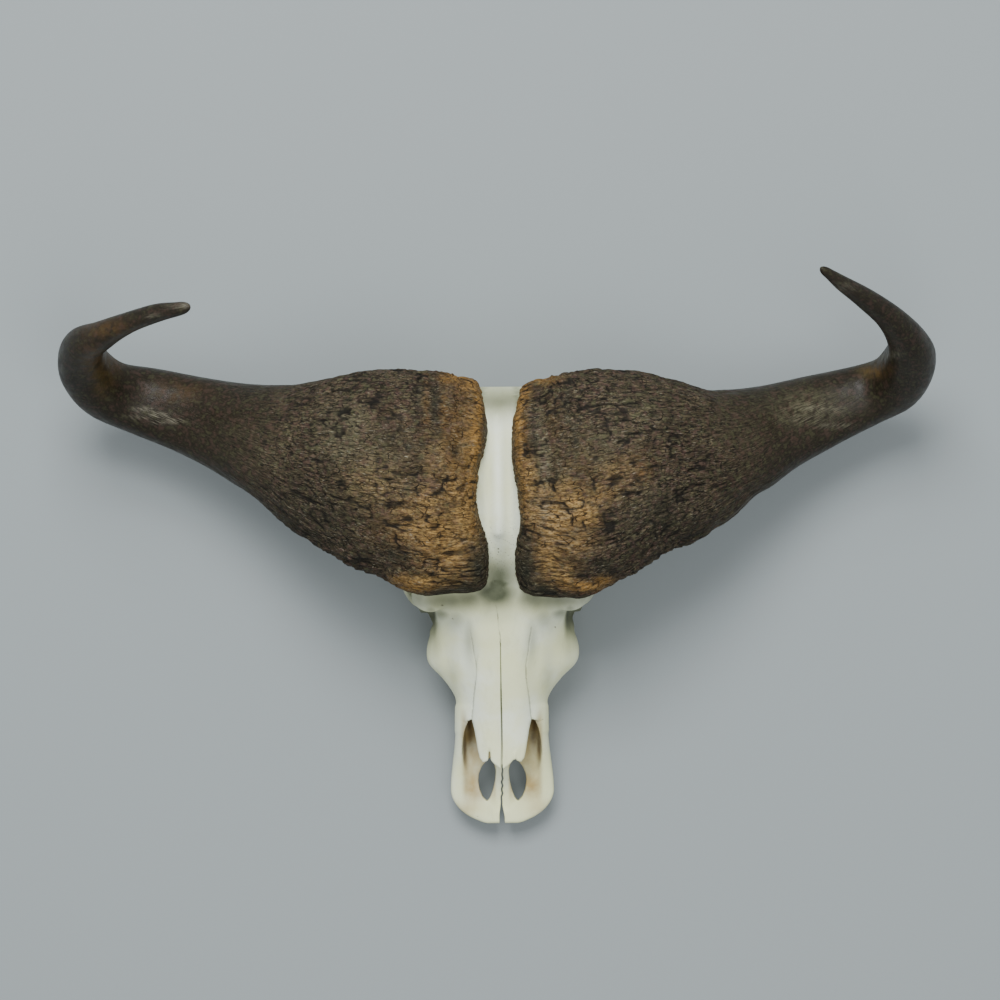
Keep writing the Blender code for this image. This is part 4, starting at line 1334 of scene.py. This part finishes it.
@dataclass
class Horn:
    """One horn's sheath: a broad rough boss by the midline, a smoother beam and a hooked tip.

    A row is x, y and z of the middle line, half length and half thickness of the section, and how
    far the section's ends droop. The inner edge is its x, the depth of its shallow recess and the
    recess's place along the edge. A push is x, y, reach and the shift to x and to y. A stroke is a
    line seen from above, its half width and its depth. A fade is where along the horn it starts and
    ends. Heights and depths are in millimetres.
    """

    side: Side
    rows: Rows
    tip: Triple
    edge: Triple
    outline: Rows
    pushes: Rows
    strokes: tuple[tuple[Rows, float, float], ...]
    patches: dict[str, Rows]
    seed: int
    edge_waves: float = 4.2
    edge_reach: float = 60.0
    edge_shortening: float = 0.22
    edge_crowding: float = 1.6
    power: float = 2.3
    boss_step: float = 1.45
    beam_step: float = 5.4
    tip_step: float = 1.2
    edge_steps: int = 96
    around: int = 364
    embed: float = 0.8
    rough_fade: tuple[float, float] = (200.0, 400.0)
    color_fade: tuple[float, float] = (190.0, 380.0)
    scallop_start: tuple[float, float] = (120.0, 160.0)
    scallop_end: tuple[float, float] = (265.0, 300.0)
    lump_height: float = 1.5
    small_height: float = 0.55
    crack_depths: tuple[float, float] = (1.3, 0.7)
    pit_depth: float = 1.2
    step_height: float = 1.0
    scallop_height: float = 2.4
    stroke_wander: float = 2.2

    def path(self, steps: int = 24) -> Array:
        """The middle line with its section's sizes, from the rounded inner edge to the rounded tip."""
        boss = np.array(self.rows[0], float)
        turn = np.linspace(0, 1, self.edge_steps, endpoint=False)[:, None]
        rise = np.sqrt(1 - (1 - turn) ** 2)
        inner = np.repeat(boss[None], self.edge_steps, axis=0)
        inner[:, 0:1] = self.edge[0] + (boss[0] - self.edge[0]) * turn**self.edge_crowding
        inner[:, 3:4] *= 1 - self.edge_shortening * (1 - rise)
        inner[:, 4:5] *= rise
        last = np.array(self.rows[-1], float)
        bend = np.linspace(0, math.pi / 2, 12)[1:, None]
        cap = np.repeat(last[None], len(bend), axis=0)
        cap[:, :3] = last[:3] + (np.array(self.tip) - last[:3]) * np.sin(bend)
        cap[:, 3:] *= np.cos(bend)
        return np.vstack((inner, smooth_rows(self.rows, steps), cap))

    def frames(self, path: Array) -> tuple[Array, Array]:
        """Directions across and out of each section, square to the smoothed middle line."""
        along = unit(np.gradient(path[:, :3], axis=0))
        along[: self.edge_steps] = (self.side.value, 0, 0)
        for _ in range(400):
            along[1:-1] = (along[:-2] + 2 * along[1:-1] + along[2:]) / 4
        along = unit(along)
        across = unit(np.array((0.0, 1.0, 0.0)) - along * along[:, 1:2])
        return across, self.side.value * np.cross(along, across)

    def resampled(self, path: Array, across: Array, out: Array) -> tuple[Array, ...]:
        """The same line read at rings that stand close on the boss and wider apart towards the tip."""
        crest = path[:, :3] + out * path[:, 4:5]
        length = running_total(np.linalg.norm(np.diff(crest, axis=0), axis=1))
        step = self.boss_step + (self.beam_step - self.boss_step) * ease(215, 330, length)
        step = step + (self.tip_step - step) * ease(length[-1] - 16, length[-1] - 6, length)
        count = running_total(np.diff(length) / step[1:])
        wanted = np.linspace(0, count[-1], int(count[-1]) + 1)
        columns = np.hstack((path, across, out, length[:, None])).T
        table = np.stack([np.interp(wanted, count, column) for column in columns], axis=1)
        return table[:, :6], table[:, 6:9], table[:, 9:12], table[:, 12]

    def around_angles(self) -> Array:
        """Angles evenly spaced along a boss section's outline, closer together on its upper side."""
        angle = np.linspace(-math.pi / 2, 1.5 * math.pi, 4001)
        v, w = self.section(angle)
        half, thick = 100, 47
        weight = 1.0 + 1.2 * ease(-14, 14, thick * w)
        total = running_total(np.hypot(half * np.diff(v), thick * np.diff(w)) * weight[1:])
        return np.interp(np.arange(self.around) / self.around * total[-1], total, angle)

    def section(self, angle: Array) -> tuple[Array, Array]:
        """The rounded section |v|^power + |w|^power = 1, with v across it and w through it."""
        return blunt(np.cos(angle), 2 / self.power), blunt(np.sin(angle), 2 / self.power)

    def build(self, skull: Skull, finish: Material) -> Piece:
        path = self.path()
        path, across, out, length = self.resampled(path, *self.frames(path))
        v, w = self.section(self.around_angles()[None, :])
        centre, half, thick, droop = path[:, :3], path[:, 3:4], path[:, 4:5], path[:, 5:6]
        rise = (thick * w - droop * v**2)[..., None]
        points = centre[:, None] + across[:, None] * (half * v)[..., None] + out[:, None] * rise
        edge_x, recess, recess_at = self.edge
        nearness = np.clip(1 - np.abs(centre[:, 0:1] - edge_x) / self.edge_reach, 0, 1)
        points[..., 0] += self.side.value * nearness * recess * np.cos(self.edge_waves * (v - recess_at))
        self.push(points)
        turn = np.arange(self.around)[None, :] / self.around
        relief, creases = self.relief(points, length[:, None], turn, v, w)
        points = points + self.normals(points) * relief[..., None]
        height = skull.height_over(points[..., 0], points[..., 1]) - self.embed
        points[..., 2] = np.maximum(points[..., 2], height)
        return self.piece(points, length[:, None] + 0 * turn, creases, finish)

    def push(self, points: Array) -> None:
        """Swells or draws in the outline seen from above by bell curves of the distance to a place."""
        plan = points[..., :2].copy()
        for x, y, reach, shift_x, shift_y in self.pushes:
            share = np.exp(-((plan[..., 0] - x) ** 2 + (plan[..., 1] - y) ** 2) / reach**2)
            points[..., 0] += shift_x * share
            points[..., 1] += shift_y * share

    def normals(self, points: Array) -> Array:
        """Outward directions: the cross product of the steps round a ring and along the horn."""
        round_step = np.roll(points, -1, axis=1) - np.roll(points, 1, axis=1)
        along_step = np.gradient(points, axis=0)
        normal = unit(np.cross(round_step, along_step) * -self.side.value)
        middle = points.mean(axis=1, keepdims=True)
        outward = ((points - middle) * normal).sum(axis=2).mean()
        return normal if outward > 0 else -normal

    def relief(self, points: Array, length: Array, turn: Array, v: Array, w: Array) -> tuple[Array, Array]:
        """Height of the horn's surface over its plain form, in millimetres.

        Creases are bell curves of noise about zero, on lattices drawn out along the horn. Lumps are
        broad noise, pits are its peaks and steps are its zero line eased over a short way. Scallops
        are a saw of the length, by the front edge only. Bands follow the inner rim seen from above.
        All fade from the boss to the hook.

        Args:
            points: the plain form.
            length: distance along the horn of each ring.
            turn: share of the way round the ring.
            v: place across the section, -1 at the front edge.
            w: place through the section, 1 at the top.

        Returns:
            The height, and how deep the creases are, 0 to 1.
        """
        grain = Grain(self.seed)

        def noise(step: float, turns: int, layer: float, sway: Array | float = 0.0) -> Array:
            """Noise whose lattice steps are a length along the horn and a share of a turn round it."""
            return grain.at(length / step, turn * turns + sway, layer, turns)

        rough = 1 - 0.95 * ease(*self.rough_fade, length)
        wander = 1.3 * noise(34, 24, 3.5)
        patchy = ease(-0.35, 0.35, noise(30, 20, 12.5))
        coarse = hump(noise(15, 96, 0.5, wander), 0, 0.14) * (0.25 + 0.75 * patchy)
        fine = hump(noise(7.5, 170, 9.5, wander), 0, 0.20) * (1 - 0.5 * patchy)
        lumps = self.lump_height * (noise(28, 18, 5.5) + 0.6 * noise(12, 44, 6.5))
        small = self.small_height * noise(5.5, 110, 14.5)
        pits = ease(0.45, 0.85, noise(14, 110, 2.5, wander))
        steps = ease(-0.07, 0.07, noise(30, 34, 8.5, wander))
        rim = plan_distance(points[..., 0], points[..., 1], self.outline) + 6 * noise(24, 20, 7.5)
        bands = 0.7 * hump(rim, 5, 6) - 0.8 * hump(rim, 15, 4) + 0.4 * hump(rim, 25, 6)
        bands = (bands - 0.6 * hump(rim, 38, 5)) * (0.4 + 0.6 * patchy)
        beat = length / 16 + 0.9 * grain.at(length / 26, 0 * turn, 4.5)
        front = hump(v, -1, 0.16) * ease(*self.scallop_start, length) * (1 - ease(*self.scallop_end, length))
        scallops = self.scallop_height * (beat - np.floor(beat)) * front
        sunk = self.crack_depths[0] * coarse + self.crack_depths[1] * fine + self.pit_depth * pits
        total = lumps + small + self.step_height * steps + bands + scallops - sunk
        creases = 0.64 * coarse + 0.40 * fine + 0.14 * pits
        upper = ease(-0.2, 0.05, w)
        across = points[..., 0] + self.stroke_wander * noise(7, 70, 20.5)
        along = points[..., 1] + self.stroke_wander * noise(7, 70, 24.5)
        for line, reach, depth in self.strokes:
            away = np.maximum(plan_distance(across, along, line), 0)
            share = upper * hump(away, 0, reach) * (0.45 + 0.55 * patchy)
            total = total - depth * share
            creases = creases + 0.22 * max(depth, 0) * share * (reach < 3)
        last = length[-1, 0]
        ends = ease(0, 5, length) * (1 - ease(last - 25, last - 5, length))
        return total * rough * ends, np.clip(creases * rough, 0, 1)

    def piece(self, points: Array, length: Array, creases: Array, finish: Material) -> Piece:
        """Puts the grid into a mesh with its colour numbers and its strand coordinates."""
        rows, columns = points.shape[:2]
        faces = grid_faces(rows, columns)
        corner_row, corner_column = faces // columns, faces % columns
        sign = self.side.value
        made = put_mesh(f"{self.side.word}_horn_sheath", points.reshape(-1, 3), faces[:, ::sign])
        mesh = made.data
        last = np.where(corner_column == 0, np.arange(len(faces))[:, None] % columns == columns - 1, False)
        turn = corner_column + last * columns
        strand = np.stack((length[:, 0][corner_row] * MM, turn / columns * 0.5), axis=-1)
        layer = mesh.uv_layers.new(name="strand")
        layer.data.foreach_set("uv", np.ascontiguousarray(strand[:, ::sign], np.float32).ravel())
        # The creases' depth is stored for painted shade in the creases.
        set_values(mesh, "relief", 0.5 - 0.5 * creases)
        set_values(mesh, "boss", 1 - ease(*self.color_fade, length))
        for name, places in self.patches.items():
            set_values(mesh, name, spots(points[..., 0], points[..., 1], places))
        weld(mesh, WELD)
        mesh.shade_smooth()
        mesh.materials.append(finish)
        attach(made, "root")
        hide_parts(f"{self.side.word}_horn")
        return made


def left_horn() -> Horn:
    """The left horn of the picture, with its own outline and colour patches."""
    return Horn(
        side=Side.LEFT,
        rows=(
            (-46, 16, 207, 115, 42, 26), (-72, 19, 211, 119, 47, 27), (-125, 30, 200, 110, 52, 24),
            (-173, 42, 173, 94, 51, 16), (-226, 56, 140, 73, 47, 8), (-279, 77, 110, 53, 42, 3),
            (-333, 95, 92, 42.5, 38, 0), (-389, 110, 91, 34.5, 35, 0), (-424, 124, 112, 31, 32, 0),
            (-441, 148, 155, 27, 27, 0), (-433, 166, 208, 20.5, 21, 0), (-409, 174, 250, 15.5, 16, 0),
            (-378, 184, 287, 11.5, 12, 0), (-345, 193, 320, 9.5, 9.5, 0), (-322, 196, 341, 7, 7, 0),
        ),
        tip=(-309, 198, 351),
        edge=(-18.5, 6.5, -0.1),
        outline=(
            (-44, 133), (-33.7, 129.5), (-20, 118), (-13.4, 102), (-14.5, 83.5), (-19.6, 46), (-22.2, 0),
            (-22.4, -19), (-15, -51), (-13.5, -66), (-19.2, -85), (-34, -98), (-60, -102), (-88, -96),
            (-112, -86),
        ),
        pushes=(
            (-373, 144, 40, 0, 5), (-141, 135, 55, 0, 3), (-48, 135, 8, 0, -2.8), (-259, 3, 26, 0, 6),
            (-130, -81, 18, 0, 5),
        ),
        strokes=(
            (((-45, 52), (-46, 50)), 5.0, 2.2),
            (((-53, 26), (-54, 25)), 5.0, -1.8),
            (((-65, -15), (-66, -16)), 5.0, -1.6),
            (((-58, 4), (-59, 2)), 5.0, -1.2),
            (((-66, -40), (-63, -48), (-62, -56), (-66, -68), (-72, -82)), 1.2, 1.7),
            (((-110, -76), (-102, -84), (-95, -88), (-75, -90)), 3.5, -1.6),
            (((-106, -68), (-96, -78), (-80, -80)), 3.5, 1.4),
            (((-68, 130), (-65, 95), (-63, 60)), 4.0, 1.6),
            (((-86, 126), (-84, 96), (-80, 76)), 4.0, 1.2),
            (((-76, 128), (-75, 95), (-72, 64)), 3.5, -1.0),
            (((-33, 118), (-28, 100), (-30, 60), (-34, 15), (-34, -20), (-28, -45)), 3.0, 1.0),
            (((-52, 118), (-49, 92), (-52, 62)), 4.0, -0.8),
        ),
        patches={
            "tan": (
                (-50, -52, 17, 22, 1.0), (-66, -36, 26, 24, 0.9), (-40, -20, 14, 34, 0.75),
                (-84, -30, 22, 20, 0.6), (-46, 10, 13, 34, 0.6), (-72, -4, 18, 18, 0.6),
                (-92, -10, 20, 16, 0.45), (-34, 60, 12, 50, 0.35), (-80, -84, 22, 8, 0.85),
                (-128, 14, 36, 24, 0.22), (-50, -78, 22, 12, 0.6), (-60, 40, 18, 26, 0.3),
            ),
            "rim": (
                (-20, 100, 6, 24, 0.8), (-24, 60, 7, 34, 0.9), (-27, 15, 7, 36, 0.8),
                (-27, -25, 7, 22, 0.55), (-40, 130, 18, 7, 1.0), (-27, 122, 12, 10, 0.8),
                (-88, -90, 20, 6, 0.9), (-106, -84, 10, 6, 0.7),
            ),
            "rust": (
                (-60, -46, 34, 40, 0.6), (-42, 60, 20, 70, 0.6), (-56, 96, 6, 38, 0.8),
                (-75, 96, 5, 34, 0.6), (-110, -30, 30, 24, 0.35), (-100, 60, 40, 40, 0.2),
                (-420, 150, 14, 16, 0.35), (-400, 180, 26, 10, 0.35), (-345, 120, 30, 12, 0.25),
            ),
            # Painted shade at the boss's lower front edge, and dark bands of the horn.
            "dark_and_painted_shade": (
                (-23, -70, 10, 24, 1.0), (-38, -92, 22, 10, 1.0), (-62, -98, 18, 7, 0.9),
                (-66, 100, 5, 36, 0.85), (-85, 104, 5, 26, 0.6), (-108, 62, 20, 22, 0.5),
                (-112, -56, 22, 10, 0.6), (-45, 52, 6, 7, 0.8), (-190, -10, 60, 34, 0.55),
                (-88, 60, 12, 30, 0.35), (-28, -48, 6, 12, 0.5),
            ),
            "olive": (
                (-162, 72, 26, 30, 0.8), (-146, 86, 16, 12, 0.7), (-120, 40, 36, 30, 0.5),
                (-53, 27, 5, 6, 0.7), (-66, -15, 5, 6, 0.5), (-78, 110, 7, 10, 0.5),
                (-64, 52, 6, 16, 0.5), (-140, 10, 36, 24, 0.3), (-250, 60, 60, 30, 0.12),
                (-24, -66, 7, 22, 0.35),
            ),
            # Scuffs and a painted highlight on top of the beam.
            "scuff_and_painted_highlight": (
                (-380, 101, 10, 2.8, 0.8), (-364, 95, 12, 2.8, 0.9), (-350, 89, 10, 2.8, 0.7),
                (-386, 93, 12, 1.8, 0.5), (-364, 87, 14, 1.8, 0.5), (-318, 199, 12, 3, 0.6),
                (-348, 190, 8, 2.5, 0.4),
            ),
            "amber": ((-420, 133, 9, 12, 0.9), (-423, 121, 7, 8, 0.6)),
        },
        seed=11,
    )


def right_horn() -> Horn:
    """The right horn of the picture, with its own outline and colour patches."""
    return Horn(
        side=Side.RIGHT,
        rows=(
            (48, 13, 207, 115, 42, 26), (80, 15, 211, 120, 47, 27), (127, 28, 200, 108, 52, 24),
            (165, 36, 180, 95, 51, 17), (203, 41, 158, 83, 49, 11), (240, 48, 134, 69.5, 45, 6),
            (294, 72, 105, 50, 41, 2), (348, 92, 90, 41, 37, 0), (400, 110, 92, 33.5, 34, 0),
            (427, 122, 112, 31, 31, 0), (437, 142, 155, 28, 27, 0), (429, 162, 208, 19.5, 20, 0),
            (408, 183, 250, 13.5, 14.5, 0), (378, 202, 286, 10.5, 11, 0), (351, 216, 318, 7.5, 8, 0),
            (335, 225, 338, 5, 5, 0),
        ),
        tip=(326, 230, 347),
        edge=(18.0, 4.0, -0.3),
        outline=(
            (48, 132), (39, 130), (24, 120), (18.4, 108), (15.3, 83), (14.9, 46), (16.5, 18),
            (20.9, -6.5), (21.6, -27), (19.6, -44), (17.9, -72), (23.8, -87), (42, -100), (61, -103),
            (85, -100), (112, -86),
        ),
        pushes=(
            (140, 135, 55, 0, 3.5), (57, 134, 9, 0, -3.0), (466, 153, 25, 3, 0), (269, -2, 22, 0, 8),
            (207, -46, 18, 0, -3), (15, -87, 16, 5, 0), (107, -92, 22, 0, 4),
        ),
        strokes=(
            (((37, 54), (40, 36), (44, 20), (48, 12)), 1.8, 1.8),
            (((56, 11), (59, 22), (58, 34)), 1.8, 1.5),
            (((49, 46), (50, 30), (51, 20)), 4.5, -1.0),
            (((37, 120), (36, 85), (38, 55)), 5.0, 1.4),
            (((29, 118), (26, 95), (26, 60), (30, 36)), 2.4, 1.4),
            (((54, 112), (52, 88), (54, 62)), 4.0, -1.1),
            (((70, 118), (72, 92), (80, 60), (84, 46)), 4.0, 1.6),
            (((20, -27), (27, -27.5), (35, -26)), 1.2, 2.4),
            (((74, -11), (76, -20), (74, -29)), 1.0, 1.6),
            (((90, -3), (95, -8), (98, -19)), 1.0, 1.4),
            (((46, -25), (52, -33)), 1.0, 1.2),
            (((58, -80), (70, -87), (85, -93), (100, -92), (114, -86)), 4.0, -1.8),
            (((52, -72), (66, -79), (82, -84)), 3.0, 1.6),
            (((93, -60), (106, -70), (120, -77)), 6.0, 2.4),
        ),
        patches={
            "tan": (
                (60, -20, 16, 18, 1.2), (56, -34, 14, 14, 1.1), (88, -16, 13, 12, 1.1),
                (74, -4, 20, 12, 0.9), (52, -60, 13, 24, 0.85), (62, -76, 16, 12, 0.7),
                (32, 18, 11, 24, 0.65), (36, -14, 12, 16, 0.6), (76, -44, 18, 14, 0.5),
                (100, 4, 18, 12, 0.45), (66, 8, 16, 12, 0.55), (120, 26, 20, 14, 0.25),
                (46, 6, 10, 12, 0.5),
            ),
            "rim": (
                (21, 84, 7, 40, 1.0), (26, 112, 8, 14, 0.9), (44, 128, 18, 7, 0.9), (22, 44, 6, 20, 0.7),
                (24, 10, 6, 26, 0.45), (88, -92, 22, 5, 1.0), (108, -86, 10, 5, 0.9),
                (70, -88, 12, 5, 0.7),
            ),
            "rust": (
                (150, 26, 8, 12, 0.8), (62, -30, 34, 40, 0.6), (80, 30, 24, 40, 0.35),
                (110, 10, 30, 20, 0.35), (60, 80, 12, 30, 0.3), (140, 40, 22, 14, 0.35),
                (405, 133, 9, 6, 0.8),
            ),
            # Painted shade at the boss's lower front edge, and dark bands of the horn.
            "dark_and_painted_shade": (
                (27, -72, 10, 26, 1.0), (44, -94, 20, 9, 1.0), (66, -99, 14, 5, 0.7),
                (36, 86, 5, 34, 0.45), (72, 98, 5, 26, 0.8), (79, 62, 5, 22, 0.7), (107, -70, 12, 8, 0.9),
                (28, -44, 8, 10, 0.6), (66, 66, 9, 40, 0.35), (180, -20, 60, 24, 0.45),
                (60, 26, 3, 16, 0.6),
            ),
            "olive": (
                (49, 30, 6, 20, 0.8), (43, 64, 6, 30, 0.7), (64, 20, 7, 14, 0.55),
                (110, 50, 40, 30, 0.35), (150, 90, 40, 26, 0.25), (150, 0, 40, 20, 0.25),
                (30, -74, 8, 18, 0.35), (240, 70, 40, 30, 0.15), (330, 96, 44, 20, 0.44),
            ),
            # Scuffs and a painted highlight on top of the beam, and lighter patches on the boss.
            "scuff_and_painted_highlight": (
                (345, 94, 30, 5, 0.22), (330, 84, 20, 5, 0.18), (366, 76, 22, 3, 0.30),
                (352, 212, 12, 4, 0.35), (413, 148, 7, 4, 0.45), (56, -12, 18, 16, 0.45),
                (64, -40, 18, 14, 0.35), (47, 30, 5, 18, 0.4),
            ),
            "amber": ((398, 134, 12, 8, 0.7),),
        },
        seed=23,
    )


# The stage


@dataclass(frozen=True)
class Stage:
    """A pale floor, soft lights behind the poll and before the muzzle, and a camera that looks down."""

    floor_size: float = 6.0
    floor_color: Triple = (0.205, 0.232, 0.237)
    camera_place: Triple = (0.0028, 0.062, 3.67)
    camera_turn: float = -0.0109
    half_view: float = 530.0 / 3500.0
    sky: Triple = (0.95, 0.97, 1.0)
    sky_strength: float = 0.80

    def build(self) -> None:
        """Makes the floor, the lights, the world and the camera."""
        self.floor()
        self.light("key", place=(-0.35, 1.9, 3.4), size=1.7, power=215.0)
        self.light("fill", place=(0.6, -0.9, 3.9), size=2.2, power=60.0)
        world = bpy.data.worlds.new("studio")
        world.use_nodes = True
        sky = world.node_tree.nodes["Background"].inputs
        sky["Color"].default_value = (*self.sky, 1)
        sky["Strength"].default_value = self.sky_strength
        bpy.context.scene.world = world
        self.camera()

    def floor(self) -> None:
        """A plain pale plane at z = 0."""
        half = self.floor_size / 2
        corners = np.array(((-half, -half), (half, -half), (half, half), (-half, half)))
        points = np.hstack((corners, np.zeros((4, 1)))) / MM - PLACE
        made = put_mesh("floor", points, np.array(((0, 1, 2, 3),)))
        r = Recipe("pale_floor")
        r.nodes.remove(r.place.node)
        made.data.materials.append(r.dress(self.floor_color, 0.9))

    def light(self, name: str, place: Triple, size: float, power: float) -> None:
        """A square soft light that faces the middle of the object."""
        lamp = bpy.data.lights.new(name, "AREA")
        lamp.size = size
        lamp.energy = power
        made = bpy.data.objects.new(name, lamp)
        made.location = place
        aim = -made.location.normalized()
        made.rotation_euler = aim.to_track_quat("-Z", "Y").to_euler()
        bpy.context.scene.collection.objects.link(made)

    def camera(self) -> None:
        """A camera over the middle of the object, its top towards the poll."""
        lens = bpy.data.cameras.new("camera")
        lens.sensor_fit = "HORIZONTAL"
        lens.angle = 2 * math.atan(self.half_view)
        lens.clip_start, lens.clip_end = 0.05, 50.0
        made = bpy.data.objects.new("camera", lens)
        made.location = self.camera_place
        made.rotation_euler = (0, 0, self.camera_turn)
        bpy.context.scene.collection.objects.link(made)
        bpy.context.scene.camera = made


def report(piece: Piece) -> None:
    """Logs a piece's name and how many faces it has."""
    LOG.info("%s: %d faces", piece.name, len(piece.data.polygons))


def main() -> None:
    """Builds the skull, its horns, its teeth and the stage, in that order."""
    skull = Skull()
    report(skull.build(BoneFinish().material()))
    for horn in (left_horn(), right_horn()):
        report(horn.build(skull, HornFinish().material(f"{horn.side.word}_horn_fibre")))
    enamel = ToothFinish().material()
    for side in Side:
        for tooth in TeethRow(side).build(enamel):
            report(tooth)
    Stage().build()


if __name__ == "__main__":
    main()
